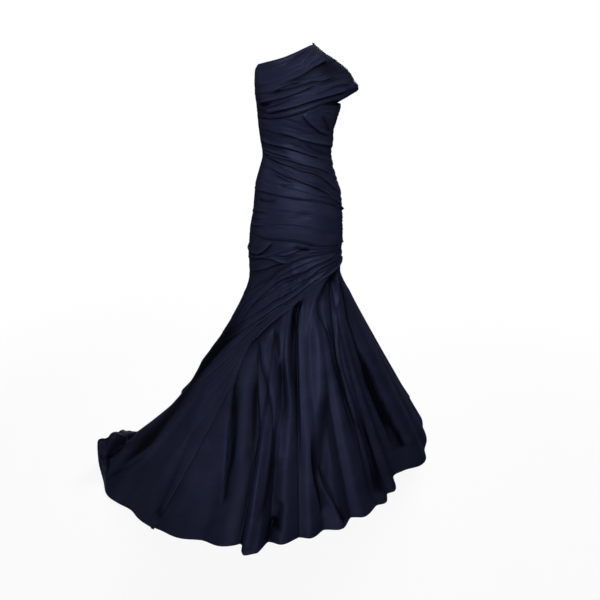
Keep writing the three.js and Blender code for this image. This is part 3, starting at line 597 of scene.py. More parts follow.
def on_photo(pixels):
    """Angles and heights of the cloth that the camera sees at pixels of the photograph."""
    across, down = (np.asarray(pixels, float) - PICTURE_CENTRE).T / FOCAL_PIXELS
    ahead = np.array([0, np.cos(CAMERA_PITCH), -np.sin(CAMERA_PITCH)])
    below = np.array([0, -np.sin(CAMERA_PITCH), -np.cos(CAMERA_PITCH)])
    rays = ahead + across[:, None] * np.array([1.0, 0, 0]) + down[:, None] * below
    spots = CAMERA_PLACE + RAY_LENGTHS[None, :, None] * rays[:, None, :]
    angles = np.degrees(np.arctan2(spots[..., 1], spots[..., 0])) % 360
    outside = np.hypot(spots[..., 0], spots[..., 1]) - cloth_radius(angles, spots[..., 2])
    hit = np.where((outside < 0).any(1), (outside < 0).argmax(1), outside.argmin(1))
    rows = np.arange(len(pixels))
    return angles[rows, hit], spots[rows, hit, 2]


def ripple(u, v, seed):
    """Smooth seeded noise between -1 and 1 on a lattice of whole numbers."""
    lattice = np.random.RandomState(seed).uniform(-1, 1, LATTICE)
    iu = np.floor(u).astype(int)
    iv = np.floor(v).astype(int)
    su = ease(u - iu)
    sv = ease(v - iv)

    def at(du, dv):
        return lattice[(iu + du) % LATTICE[0], (iv + dv) % LATTICE[1]]

    return lerp(lerp(at(0, 0), at(1, 0), su), lerp(at(0, 1), at(1, 1), su), sv)


def swelling(swell, first, second, seed):
    return swell.size * ripple(first / swell.first, second / swell.second, seed)


def grown(growth, distance):
    return lerp(growth.start, growth.end, ease(distance / growth.length))


def fold_section(fold, away, side, above):
    """A fold's rise and shade, as shares of its full depth, by the distance from its line. The factors on
    the width and the short lengths are each section's own proportions."""
    if fold.kind == "valley":
        sunk = falloff(away, fold.width)
        return -sunk, sunk
    if fold.kind == "trough":
        sunk = falloff(away, fold.width, 2)
        return -sunk, INNER_SHADE["trough"] * sunk
    if fold.kind == "ridge":
        crest = falloff(away, fold.width, 2)
        return crest, -CREST_LIGHT["ridge"] * crest
    if fold.kind == "overlap":
        beyond = 1 / (1 + np.exp(-np.clip(side * away, -OVERLAP_REACH, OVERLAP_REACH) / OVERLAP_ROUND))
        crest = (1 - beyond) * falloff(away, 1.4 * fold.width, 2)
        dark = INNER_SHADE["overlap"] * beyond * falloff(away, 1.3 * fold.width, 1.5)
        return 0.35 * crest - beyond * falloff(away, fold.width), dark - CREST_LIGHT["overlap"] * crest
    if fold.kind == "roll":
        beyond = (side < 0) * falloff(away, 4 * fold.width, 4)
        dark = beyond * (1 - falloff(away, 2.0)) + INNER_SHADE["roll"] * (side >= 0) * falloff(away, 3.0)
        return -beyond * (1 - falloff(away, fold.width)), dark
    crest = (1 - falloff(away, LIP_ROUND, 1.5)) * falloff(away, fold.width, 1.5)
    pressed = -0.3 * falloff(away, 0.35 * fold.width) * (1 - falloff(away, 1.0))
    lit = falloff(away, 1.5) - CREST_LIGHT["lip"] * crest
    return np.where(above > 0, crest, pressed), np.where(above > 0, lit, falloff(away, 0.5 * fold.width))


def fold_relief(fold, line, angle, height):
    """How far one single fold moves the cloth, and how deep in its shade the cloth lies."""
    knots = np.arange(len(line[0]))
    samples = np.linspace(0, knots[-1], FOLD_SAMPLES * knots[-1] + 1)
    fold_angle, fold_height = (smooth(knots, values, samples) for values in line)
    arc = np.radians(1) * cloth_radius(fold_angle, fold_height)
    margin = (ROLL_REACH if fold.kind == "roll" else FOLD_REACH) * fold.width
    relief = np.zeros(angle.shape)
    shade = np.zeros(angle.shape)
    near = (
        (angle > fold_angle.min() - margin / arc.min()) & (angle < fold_angle.max() + margin / arc.min())
        & (height > fold_height.min() - margin) & (height < fold_height.max() + margin)
    )
    if not near.any():
        return relief, shade
    dx = (angle[near][:, None] - fold_angle) * arc
    dy = height[near][:, None] - fold_height
    nearest = (dx * dx + dy * dy).argmin(1)
    rows = np.arange(len(nearest))
    dx = dx[rows, nearest]
    dy = dy[rows, nearest]
    way = np.stack([np.gradient(fold_angle) * arc, np.gradient(fold_height)], -1)[nearest]
    side = np.sign(way[:, 0] * dy - way[:, 1] * dx)
    above = side * np.sign(way[:, 0] + 1e-9)
    share = nearest / (len(samples) - 1)
    starting = ease(share / max(fold.fade_in, SHORTEST_FADE))
    strength = starting * ease((1 - share) / max(fold.fade_out, SHORTEST_FADE))
    rise, dark = fold_section(fold, np.hypot(dx, dy), side, above)
    relief[near] = fold.depth * rise * strength
    shade[near] = np.minimum(fold.depth / DEEP_FOLD, 1) * dark * strength
    return relief, shade


def folds_relief(folds, angle, height):
    pairs = [fold_relief(fold, on_photo(fold.points), angle, height) for fold in folds]
    relief, shade = (sum(fields) for fields in zip(*pairs))
    return relief * bpy.context.scene.gown_sizes.fold_depth, shade


def pleat_shade(up, room, lift):
    """How deep the cloth of a pleat lies in shade: most just under the pleat above."""
    under = falloff(np.maximum(room - up, 0), PLEAT_SHADOW)
    crest = CREST_LIGHT["pleat"] * bell(up, PLEAT_CREST, PLEAT_CREST)
    return np.minimum(lift / DEEP_FOLD, 1) * (under - crest)


def pleat(up, room, lift):
    """A pleat's relief and its droop over the line below it, at a height above that line."""
    share = up / np.maximum(room, 0.1)
    lip = 1 - falloff(up, PLEAT_LIP, 1.5)
    slope = 0.25 + 0.75 * (1 + np.cos(np.pi * clamp((share - 0.12) / 0.85))) / 2
    crease = 1 - falloff(np.maximum(room - up, 0), PLEAT_CREASE)
    droop = STEEPEST_PLEAT * lift * (up / PLEAT_DROOP) * np.exp(1 - up / PLEAT_DROOP)
    return lift * lip * slope * crease, droop


def pleat_shares(room, step):
    """Rows from one fold line to the next, close together at the lip."""
    if room <= NARROW_PLEAT:
        return np.linspace(0, 1, max(int(room / NARROW_STEP), 3) + 1)[:-1]
    last = LIP_ROWS[-1]
    rest = np.linspace(last, room, max(int((room - last) / step), 2) + 1)[1:]
    return (np.concatenate([LIP_ROWS, rest]) / room)[:-1]


def unit(vectors):
    return vectors / np.maximum(np.linalg.norm(vectors, axis=-1, keepdims=True), 1e-9)


def from_axis(points):
    """Level vectors from the gown's axis to points in the frame."""
    return (points + SHOULDER_REST * MM) * LEVEL


def spread(values, times):
    """Evens values out along an edge."""
    for _ in range(times):
        values = (np.roll(values, 1, 0) + 2 * values + np.roll(values, -1, 0)) / 4
    return values


def turned(points, radius, allowance):
    """The rows that turn a sheet's last row under itself."""
    edge = points[-1]
    away = unit(spread(unit(edge - points[-1 - EDGE_ROWS]), HEM_EVENING))
    along = unit(np.gradient(edge, axis=0))
    face = unit(np.cross(along, away))
    if (face * from_axis(edge)).sum() < 0:
        face = -face
    rows = [
        edge + radius * np.sin(turn) * away - radius * (1 - np.cos(turn)) * face
        for turn in HEM_TURNS
    ]
    rows.append(edge - 2 * radius * face - allowance * away)
    return np.concatenate([points, rows])


def bent_edge(edge, inner, radius):
    """A seam edge's points moved to the inside of the cloth."""
    radial = unit(from_axis(edge))
    face = unit(np.cross(unit(np.gradient(edge, axis=0)), unit(edge - inner)))
    face = face * np.sign((face * radial).sum(1, keepdims=True) + 1e-9)
    return edge - 2 * radius * unit(spread(face + SEAM_LEAN * radial, SEAM_EVENING))


def hemmed(points, radius, allowance):
    """Turns a sheet's upper and lower edges under, and bends its seam edges inwards."""
    points = turned(points, radius, allowance)
    points = turned(points[::-1], radius, allowance)[::-1]
    first = bent_edge(points[:, 0], points[:, EDGE_ROWS], radius)
    last = bent_edge(points[:, -1], points[:, -1 - EDGE_ROWS], radius)
    return np.concatenate([first[:, None], points, last[:, None]], 1)


def sheet_object(name, points, shade):
    """A mesh of one cloth panel from its grid of points, with thread directions as its UV map."""
    rows, columns, _ = points.shape
    numbers = np.arange(rows * columns).reshape(rows, columns)
    quads = np.stack([numbers[:-1, :-1], numbers[:-1, 1:], numbers[1:, 1:], numbers[1:, :-1]], -1)
    quads = quads.reshape(-1, 4)
    middle = points[rows // 2, columns // 2]
    across = points[rows // 2, columns // 2 + 1] - middle
    upwards = points[rows // 2 + 1, columns // 2] - middle
    if np.dot(np.cross(across, upwards), from_axis(middle)) < 0:
        quads = quads[:, ::-1]
    mesh = bpy.data.meshes.new(name)
    mesh.from_pydata(points.reshape(-1, 3).tolist(), [], quads.tolist())
    mesh.shade_smooth()
    steps_across = np.linalg.norm(np.diff(points, axis=1, prepend=points[:, :1]), axis=-1)
    steps_up = np.linalg.norm(np.diff(points, axis=0, prepend=points[:1]), axis=-1)
    thread = np.stack([steps_across.cumsum(1), steps_up.cumsum(0)], -1).reshape(-1, 2)
    layer = mesh.uv_layers.new(name="Threads")
    layer.data.foreach_set("uv", thread[quads.ravel()].astype(np.float32).ravel())
    # Fold shade: painted shade in the folds and painted highlights on the crests, which the material puts
    # into the colour
    depth = mesh.attributes.new("Fold shade", "FLOAT", "POINT")
    depth.data.foreach_set("value", np.clip(shade, *SHADE_RANGE).astype(np.float32).ravel())
    mesh.update()
    piece = bpy.data.objects.new(name, mesh)
    bpy.context.scene.collection.objects.link(piece)
    return piece


def finish_piece(node, points, shade):
    sizes = bpy.context.scene.gown_sizes
    grid = hemmed(points, sizes.edge_radius, sizes.edge_allowance)
    turns = [((size - inner) // 2,) * 2 for size, inner in zip(grid.shape, shade.shape)]
    piece = sheet_object(node + "_cloth", grid, np.pad(shade, turns, mode="edge"))
    piece.data.materials.append(silk_taffeta())
    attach(piece, "root")
    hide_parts(node)
    return piece


def seam_fade(angle, height, ends, widths):
    """0 on the two side seams of a panel, and 1 further in than the widths."""
    arc = np.radians(1) * cloth_radius(angle, height)
    first, last = (np.abs(angle - end) * arc / width for end, width in zip(ends, widths))
    return ease(np.minimum(first, last))


def wrap_lift(wrap, i, angles, gap, front):
    """How far a wrap's pleat stands out: less towards a seam, where it is sewn down."""
    varied = 1 + swelling(PLEAT_CHANGE, body_arc(angles) + PLEAT_SHIFT * i, 0 * angles + i, wrap.seed)
    lift = np.minimum(wrap.rows[i].lift, STEEPEST_PLEAT * gap) * varied
    if front:
        kept = FRONT_LIFT if i else LOWEST_LIFT
        return lift * kept * grown(FRONT_GROWTH, body_arc(angles - SEWN_ANGLE))
    return lift * BACK_LIFT * grown(BACK_GROWTH, body_arc(np.minimum(angles, RIGHT_SEAM - angles)))


def tuck_top(angle, height, relief, shade, front):
    """Sinks a panel's upper edge under the panel above, and carries it on behind."""
    deep = grown(TUCK_GROWTH, body_arc(angle - SEWN_ANGLE)) if front else TUCKED
    relief = lerp(deep, relief, ease((height[-1] - height) / TUCK_EASE))
    higher = height[-1] + np.array(TUCK_ROWS)[:, None]
    behind = relief[-1] + cloth_radius(angle[-1], height[-1]) - cloth_radius(angle[-1], higher)
    angle, shade = (np.pad(field, ((0, len(TUCK_ROWS)), (0, 0)), mode="edge") for field in (angle, shade))
    return angle, np.concatenate([height, higher]), np.concatenate([relief, behind]), shade


def wrap_panel(node, lines, armhole_turn=0):
    """A pleated panel between fold lines, from its left seam to its right one or to the armhole."""
    wrap = WRAPS[node]
    front = node.endswith("_front")
    count = len(lines) - 1

    def angles_at(share):
        edge = RIGHT_SEAM + armhole_turn * max(0.0, (share - ARMHOLE_START) / (1 - ARMHOLE_START))
        return np.linspace(360, edge, FRONT_COLUMNS) if front else np.linspace(0, edge, BACK_COLUMNS)

    rows = []
    travelled = 0.0
    for i in range(count):
        middle = angles_at((i + 0.5) / count)
        room = float((lines[i + 1](middle) - lines[i](middle)).max())
        shares = pleat_shares(room, wrap.step)
        if i == count - 1:
            shares = np.append(shares, 1.0)
        for share in shares:
            angles = angles_at((i + share) / count)
            low = lines[i](angles)
            gap = np.maximum(lines[i + 1](angles) - low, 0.0)
            up = gap * share
            lift = wrap_lift(wrap, i, angles, gap, front)
            rise, droop = pleat(up, gap, lift)
            droop = droop * seam_fade(angles, low + up, angles[[0, -1]], DROOP_FADE)
            stray = swelling(LINE_WANDER, body_arc(angles), 0 * angles + 3 * i, wrap.seed + 1)
            stray = stray * (i > 0) * (1 - share) * clamp(gap / WIDE_PLEAT)
            dark = pleat_shade(up, gap, lift if front and i < count - 1 else 2 * lift)
            rows.append((angles, low + up - droop + stray, rise, travelled + up, dark))
        travelled += room
    angle, height, relief, grain, shade = (np.array(field) for field in zip(*rows))
    sizes = bpy.context.scene.gown_sizes
    wrinkles = swelling(WRAP_WRINKLES, body_arc(angle), grain, wrap.seed + 2) * wrap.wrinkled
    fine = WRAP_WRINKLE_RISE * wrinkles + swelling(WRAP_CRINKLES, body_arc(angle), grain, wrap.seed + 3)
    shade = shade - WRINKLE_SHADE * wrinkles
    relief = relief * sizes.fold_depth + fine * sizes.wrinkle_depth / MM
    if front:
        folded, folded_shade = folds_relief(BODY_FOLDS, angle, height)
        relief += folded
        shade += folded_shade
        if wrap.tucked:
            from_hip = body_arc(360 - angle)
            relief += falloff(from_hip, PUCKER_REACH) * swelling(PUCKERS, height, from_hip, wrap.seed + 4)
    fade = seam_fade(angle, height, angle[0, [0, -1]], FRONT_SEAM_FADE if front else BACK_SEAM_FADE)
    relief = lerp(SEAM_SINK, relief, fade)
    if wrap.tucked:
        angle, height, relief, shade = tuck_top(angle, height, relief, shade, front)
    return finish_piece(node, place(angle, height, CLOTH + relief), shade)


def fold_lines(node, top=np.inf):
    """The heights of a wrap's fold lines, each as a function of the angle."""
    stations = FRONT_STATIONS if node.endswith("_front") else BACK_STATIONS
    return [
        lambda angle, row=row: np.minimum(top, height_on(row, stations, angle)) for row in WRAPS[node].rows
    ]


def under_arm(lines):
    """Lets the drape's lowest line hang further down beside the arm."""
    low = lines[0]

    def lowest(angle):
        return low(angle) - UNDER_ARM.depth * bell(angle, UNDER_ARM.angle, UNDER_ARM.spread)

    return [lowest, *lines[1:]]


def swag_spot(line, at):
    """Angle and height on a swag line, at a place along the swag's columns."""
    across = np.interp(at, np.arange(LAST_COLUMN + 1), SWAG_COLUMNS)
    share = clamp((at - TURN_COLUMN) / (LAST_COLUMN - TURN_COLUMN))
    turned_angle = lerp(SWAG_TURN, line.end, share)
    turned_height = lerp(line.heights[0], line.end_height, share ** SWAG_SWEEP)
    before = at <= TURN_COLUMN
    angle = np.where(before, across, turned_angle)
    return angle, np.where(before, smooth(SWAG_STATIONS, line.heights, across), turned_height)


def thigh_lines():
    """The thigh wrap's fold lines, each as a share of the way from the swag's upper edge to the hip wrap."""
    swag_angle, swag_height = swag_spot(SWAG_LINES[0], np.linspace(0, LAST_COLUMN, SWAG_EDGE_SAMPLES))
    order = np.argsort(swag_angle)

    def line(row):
        def height(angle):
            low = np.interp(angle, swag_angle[order], swag_height[order])
            high = height_on(HIP_FRONT_FOLDS[0], FRONT_STATIONS, angle)
            return lerp(low, high, height_on(row, FRONT_STATIONS, angle))

        return height

    return [line(row) for row in THIGH_FRONT_SHARES]


def hem_wave(angle, height):
    """How the lobe's hem curls out and up."""
    near = clamp(1 - height / HEM_WAVE_HEIGHT) ** 2
    out, up = (
        sum(getattr(wave, name) * bell(angle, wave.angle, wave.spread) for wave in HEM_WAVES)
        for name in ("out", "up")
    )
    fade = clamp((angle - RIGHT_SEAM) / HEM_WAVE_FADE) * clamp((SWAG_LINES[-1].end - angle) / HEM_WAVE_FADE)
    return near * fade * out, near * near * fade * up


def curled(points, shade, radii):
    """Rolls a sheet's last column outwards and up, with a radius for each row, and crumples the roll."""
    edge = points[:, -1]
    radial = unit(from_axis(edge))
    rows = np.arange(len(edge))
    rolled, dark = [], []
    for turn in CURL_TURNS:
        crumple = ripple(rows / 16.0 + 0.9 * turn, 0 * rows + turn * 0.9, SEEDS["curl"])
        reach = (radii * (1 + 0.3 * crumple * np.sin(turn / 2)))[:, None]
        rolled.append(edge + reach * np.sin(turn) * radial + reach * (1 - np.cos(turn)) * UPWARDS)
        dark.append(0.8 * np.abs(np.cos(turn / 2)) - 0.5 * crumple + 0 * radii)
    points = np.concatenate([points, np.stack(rolled, 1)], 1)
    return points, np.concatenate([shade, np.stack(dark, 1)], 1)


def off_floor(height):
    """Eases heights near the floor up, so that the hem's cloth lies on it."""
    return height + HEM_CLEARANCE * clamp(1 - height / HEM_CLEARANCE_HEIGHT)


def along_flutes(flutes, name, at):
    """A flute table's column between its rows: crests stay round and valleys sharp."""
    i = np.minimum(np.floor(at).astype(int), len(flutes) - 2)
    share = at - i
    values = np.array(column(flutes, name), float)
    low, high = values[i], values[i + 1]
    if name == "push":
        even = (1 - np.cos(np.pi * share)) / 2
        rising = np.sin(np.pi * share / 2)
        falling = 1 - np.cos(np.pi * share / 2)
        share = lerp(even, np.where(high > low, rising, falling), FLUTE_SHARPNESS)
    return lerp(low, high, share)


def gore_points(span, grid, spot_at):
    """A skirt gore's grid, from its upper edge to the hem."""
    front = grid is FRONT_GRID
    at = np.linspace(span[0], span[1], grid.per_flute * (span[1] - span[0]) + 1)[None, :]
    fall = np.linspace(0, 1, grid.rows)[:, None]
    angle, height, push = spot_at(at, fall)
    around = angle * np.radians(1) * SKIRT_ROUND
    down = (1 - fall) * SKIRT_LENGTH + 0 * at
    fine = swelling(GORE_SWELLS, around, down, grid.seed)
    fine = (fine + swelling(GORE_CRINKLES, around, down, grid.seed + 1)) * ease(fall / 0.15)
    if not front:
        fine = fine * 2 + swelling(BACK_SWELLS, around, down, grid.seed + 2) * ease(fall / 0.4)
    relief = push + fine * bpy.context.scene.gown_sizes.wrinkle_depth / MM
    shade = FLUTE_SHADE * clamp(-push / DEEP_FLUTE) - FLUTE_LIGHT * clamp(push / DEEP_FLUTE)
    if front:
        folded, folded_shade = folds_relief(SKIRT_FOLDS, angle, height)
        relief = relief + folded * ease(fall / 0.03)
        shade = shade + folded_shade + falloff(fall, 0.055, 1.3)  # the swag shades the top of the gore
    from_seam = np.min([np.abs(angle - seam) for seam in (0, RIGHT_SEAM, 360)], axis=0)
    relief = relief * ease(from_seam / SEAM_DEGREES)
    if not front and angle.max() > RIGHT_SEAM - 1:
        rolled, rolled_shade = folds_relief(TRAIN_ROLL, angle, height)
        relief = relief + rolled
        shade = shade + rolled_shade
    return place(angle, off_floor(height), CLOTH + relief), shade


def front_spot(at, fall):
    """Angle, height and push of a front gore's cloth, which tapers and tucks in under the swag's edge."""
    start = along_flutes(FRONT_FLUTES, "start", at)
    hem = along_flutes(FRONT_FLUTES, "hem", at)
    last = len(FRONT_FLUTES) - 1
    top = smooth(SWAG_STATIONS, SWAG_LINES[-1].heights, np.maximum(start, SWAG_TURN)) + TUCK.height
    under = np.maximum(clamp(1 - fall / TUCK.share), clamp((at - last) / TUCK.flutes + 1))
    growth = clamp(fall / TUCK.share) * lerp(0.2, 1, fall ** 1.6)
    push = along_flutes(FRONT_FLUTES, "push", at) * growth * (1 - under) - TUCK.depth * under
    return lerp(hem, start, (1 - fall) ** FLUTE_TURN), top * (1 - fall), push


def back_spot(at, fall):
    """Angle, height and push of a back gore's cloth, whose flutes grow unevenly from its upper seam."""
    angle = along_flutes(BACK_FLUTES, "hem", at) + 0 * fall
    top = height_on(HIP_BACK_FOLDS[0], BACK_STATIONS, angle) + 8
    growth = lerp(0.12, 1, fall) * ease(fall / 0.06)
    sink = 4.0 * clamp(1 - fall / 0.03)
    uneven = 0.75 + swelling(FLUTE_CHANGE, at + 0 * fall, fall + 0 * at, SEEDS["back flutes"])
    return angle, top * (1 - fall), along_flutes(BACK_FLUTES, "push", at) * growth * uneven - sink


def swag_points():
    """The swag's grid: pleats between its lines, from the left hip seam to the train's rolled edge."""
    at = np.linspace(0, LAST_COLUMN, SWAG_GRID_COLUMNS)
    opened = ease((at - HELD_COLUMN) / OPENING_COLUMNS)
    lines = SWAG_LINES[::-1]
    rows = []
    travelled = 0.0 * at
    for i, (lower, upper) in enumerate(zip(lines, lines[1:])):
        low = swag_spot(lower, at)
        high = swag_spot(upper, at)
        arc = np.radians(high[0] - low[0]) * cloth_radius(high[0], high[1])
        room = np.hypot(high[1] - low[1], arc)
        count = int(np.clip(room.max() / SWAG_ROW, FEWEST_ROWS, MOST_ROWS))
        shares = np.linspace(0, 1, count + 1) ** ROW_POWER
        if i < len(lines) - 2:
            shares = shares[:-1]
        for share in shares:
            up = room * share
            varied = 1 + swelling(SWAG_CHANGE, at + SWAG_SHIFT * i, 0 * at + i, SEEDS["swag lift"])
            lift = np.minimum(lerp(HELD_LIFT, 1, opened) * upper.lift, STEEPEST_PLEAT * room) * varied
            lift = lift * grown(SWAG_GROWTH, SWAG_FLAT_COLUMN - at)
            rise, droop = pleat(up, room, lift)
            dark = pleat_shade(up, room, lerp(HELD_SHADE, 1, opened) * lift)
            if i == 0:
                rise = np.maximum(rise, SWAG_EDGE_LIFT * falloff(up, EDGE_REACH))
                # painted highlight along the swag's raised lower edge
                dark = dark - EDGE_HIGHLIGHT * falloff(up, EDGE_HIGHLIGHT_REACH)
            far = lerp(1, FAR_SHARE, at / LAST_COLUMN)
            heights = lerp(low[1], high[1], share) - droop * far * (i > 0)
            rows.append((lerp(low[0], high[0], share), heights, rise * far, travelled + up, dark))
        travelled = travelled + room
    angle, height, relief, grain, shade = (np.array(field) for field in zip(*rows))
    sizes = bpy.context.scene.gown_sizes
    along = at[None, :] * COLUMN_ROUND + 0 * grain
    wrinkles = swelling(SWAG_WRINKLES, along, grain, SEEDS["swag wrinkles"]) * ease((16 - at) / 8)
    fine = swelling(SWAG_SWELLS, along, grain, SEEDS["swag swells"]) + SWAG_WRINKLE_RISE * wrinkles
    shade = shade - WRINKLE_SHADE * wrinkles
    relief = relief * sizes.fold_depth + fine * sizes.wrinkle_depth / MM
    folded, folded_shade = folds_relief(SWAG_FOLDS, angle, height)
    relief = lerp(SEAM_SINK, relief + folded, ease(at / 0.25))
    relief = relief * ease((LAST_COLUMN - at) / 0.6)
    rolled, rolled_shade = folds_relief(TRAIN_ROLL, angle, height)
    out, up = hem_wave(angle, height)
    ends = angle[:, -1]
    lobe = bell(ends, CURL.angle, CURL.spread) * ease((ends - RIGHT_SEAM) / 6)
    lobe = lobe * (1 + swelling(LOBE_CHANGE, ends, 0 * ends, SEEDS["lobe"]))
    out = out - CURL.radius * lobe[:, None] * clamp(1 - height / CURL.height) ** 2
    points = place(angle, off_floor(height), CLOTH + relief + rolled + out)
    points[..., 2] += up * MM
    return curled(points, shade + folded_shade + rolled_shade, (CURL.radius * lobe + 1.1) * MM)


def linear(colour):
    """An sRGB hex colour as linear red, green and blue."""
    parts = [int(colour[i : i + 2], 16) / 255 for i in (1, 3, 5)]
    return [part / 12.92 if part <= 0.04045 else ((part + 0.055) / 1.055) ** 2.4 for part in parts]


def add_node(tree, kind, values=None, links=None, **settings):
    """Adds a node with its settings, input values and links."""
    node = tree.nodes.new(kind)
    for name, value in settings.items():
        setattr(node, name, value)
    for socket, value in (values or {}).items():
        node.inputs[socket].default_value = value
    for socket, source in (links or {}).items():
        tree.links.new(source, node.inputs[socket])
    return node


def silk_taffeta():
    """Yarn-dyed silk taffeta, woven with a fine crosswise rib and pressed crisp: a near-black navy with a
    low, slightly cold gloss on every crest, and thick and thin weft threads that break the gloss up."""
    name = "silk_taffeta_woven"
    found = bpy.data.materials.get(name)
    if found:
        return found
    look = bpy.context.scene.gown_taffeta
    material = bpy.data.materials.new(name)
    material.use_nodes = True
    tree = material.node_tree
    tree.nodes.clear()
    threads = add_node(tree, "ShaderNodeUVMap", uv_map="Threads").outputs["UV"]
    # The real rib is 0.4 mm apart, too fine to show: it is drawn at the spacing in the settings. Each
    # pattern's scale is per metre across the panel and up it, and its detail and roughness follow.
    rib_scale = 1 / look.rib_spacing
    patterns = {
        "rib": ((rib_scale / 30, rib_scale), 2.0, 0.6),
        "slub": ((14, 260), 3.0, 0.65),
        "press": ((9, 16), 4.0, 0.55),
    }
    grain = {}
    for pattern, (scale, detail, roughness) in patterns.items():
        placed = add_node(tree, "ShaderNodeMapping", {"Scale": (*scale, 1)}, {"Vector": threads})
        noise = add_node(
            tree, "ShaderNodeTexNoise", {"Scale": 1.0, "Detail": detail, "Roughness": roughness},
            {"Vector": placed.outputs[0]},
        )
        grain[pattern] = noise.outputs["Fac"]
    shade = add_node(
        tree, "ShaderNodeMix", {"B": 0.35}, {"A": grain["press"], "Factor": grain["slub"]}, data_type="FLOAT"
    )
    tone = add_node(tree, "ShaderNodeValToRGB", links={"Fac": shade.outputs["Result"]})
    for stop, position, colour in zip(
        tone.color_ramp.elements, (0.3, 0.65), (look.deep_colour, look.lit_colour)
    ):
        stop.position = position
        stop.color = (*colour, 1)
    # The Fold shade attribute paints light and shade into the colour: painted shade darkens the inside of the
    # folds and a painted highlight lightens their crests.
    depth = add_node(tree, "ShaderNodeAttribute", attribute_name="Fold shade")
    painted_shading_scale = add_node(
        tree, "ShaderNodeMapRange",
        {"From Min": SHADE_RANGE[0], "From Max": SHADE_RANGE[1], "To Min": PAINTED_HIGHLIGHT_SCALE, "To Max": PAINTED_SHADE_SCALE},
        {"Value": depth.outputs["Fac"]},
    )
    painted_shading_colour = add_node(
        tree, "ShaderNodeVectorMath", links={0: tone.outputs["Color"], "Scale": painted_shading_scale.outputs["Result"]},
        operation="SCALE",
    )
    gloss = add_node(
        tree, "ShaderNodeMapRange", {"To Min": look.roughness - 0.05, "To Max": look.roughness + 0.09},
        {"Value": grain["slub"]},
    )
    crease = add_node(
        tree, "ShaderNodeBump", {"Strength": 0.5, "Distance": 0.0012}, {"Height": grain["press"]}
    )
    weave = add_node(
        tree, "ShaderNodeBump", {"Strength": 0.3, "Distance": 0.00025},
        {"Height": grain["rib"], "Normal": crease.outputs["Normal"]},
    )
    shader = add_node(
        tree, "ShaderNodeBsdfPrincipled",
        {
            "IOR": 1.54,
            "Specular IOR Level": look.gloss,
            "Specular Tint": (*linear("#b4c0ff"), 1),
            "Sheen Weight": look.sheen,
            "Sheen Roughness": 0.35,
            "Sheen Tint": (*linear("#6f7fc0"), 1),
        },
        {
            "Base Color": painted_shading_colour.outputs["Vector"],
            "Roughness": gloss.outputs["Result"],
            "Normal": weave.outputs["Normal"],
        },
    )
    add_node(tree, "ShaderNodeOutputMaterial", links={"Surface": shader.outputs[0]})
    return material


def studio_paper(colour):
    """Matt studio paper, rolled flat: pale, without gloss, so that only soft shade shows on it. Away from
    the gown it is lit from below, and runs into the white surround without an edge."""
    material = bpy.data.materials.new("studio_paper")
    material.use_nodes = True
    tree = material.node_tree
    tree.nodes.clear()
    paper = add_node(
        tree, "ShaderNodeBsdfPrincipled",
        {"Base Color": (*colour, 1), "Roughness": 0.9, "Specular IOR Level": 0.1},
    )
    glow = add_node(tree, "ShaderNodeEmission", {"Color": (*linear("#ffffff"), 1), "Strength": 1.0})
    spot = add_node(tree, "ShaderNodeTexCoord").outputs["Object"]
    distance = add_node(tree, "ShaderNodeVectorMath", links={0: spot}, operation="LENGTH")
    share = add_node(
        tree, "ShaderNodeMapRange", {"From Min": 0.8, "From Max": 2.4, "To Min": 0.88, "To Max": 1.0},
        {"Value": distance.outputs["Value"]}, interpolation_type="SMOOTHSTEP",
    )
    both = add_node(
        tree, "ShaderNodeMixShader",
        links={0: share.outputs["Result"], 1: paper.outputs[0], 2: glow.outputs[0]},
    )
    add_node(tree, "ShaderNodeOutputMaterial", links={"Surface": both.outputs[0]})
    return material


class GownSizes(bpy.types.PropertyGroup):
    fold_depth: FloatProperty(
        name="Fold depth", description="Depth of the pleats and folds, as a share of the real ones",
        default=1.0, min=0.0, max=1.5, subtype="FACTOR",
    )
    wrinkle_depth: FloatProperty(
        name="Wrinkle depth", description="Depth of the fine wrinkles along the folds",
        default=0.7 * MM, min=0.0, max=0.003, unit="LENGTH",
    )
    edge_radius: FloatProperty(
        name="Edge radius", description="Radius of every turned edge",
        default=1.1 * MM, min=0.0005, max=0.005, unit="LENGTH",
    )
    edge_allowance: FloatProperty(
        name="Edge allowance", description="How far the cloth is turned back inside an edge",
        default=9 * MM, min=0.002, max=0.03, unit="LENGTH",
    )


class GownTaffeta(bpy.types.PropertyGroup):
    deep_colour: FloatVectorProperty(
        name="Deep colour", description="Colour of the taffeta's darker threads",
        default=linear("#131626"), min=0.0, max=1.0, subtype="COLOR",
    )
    lit_colour: FloatVectorProperty(
        name="Lit colour", description="Colour of the taffeta's lighter threads",
        default=linear("#222437"), min=0.0, max=1.0, subtype="COLOR",
    )
    roughness: FloatProperty(
        name="Roughness", description="Spread of the taffeta's gloss", default=0.47, min=0.2, max=0.8,
        subtype="FACTOR",
    )
    gloss: FloatProperty(
        name="Gloss", description="Strength of the taffeta's gloss", default=0.11, min=0.0, max=1.0,
        subtype="FACTOR",
    )
    sheen: FloatProperty(
        name="Sheen", description="Soft light on threads seen from the side", default=0.02, min=0.0, max=1.0,
        subtype="FACTOR",
    )
    rib_spacing: FloatProperty(
        name="Rib spacing", description="Distance between crosswise ribs as drawn",
        default=1.6 * MM, min=0.0002, max=0.01, unit="LENGTH",
    )


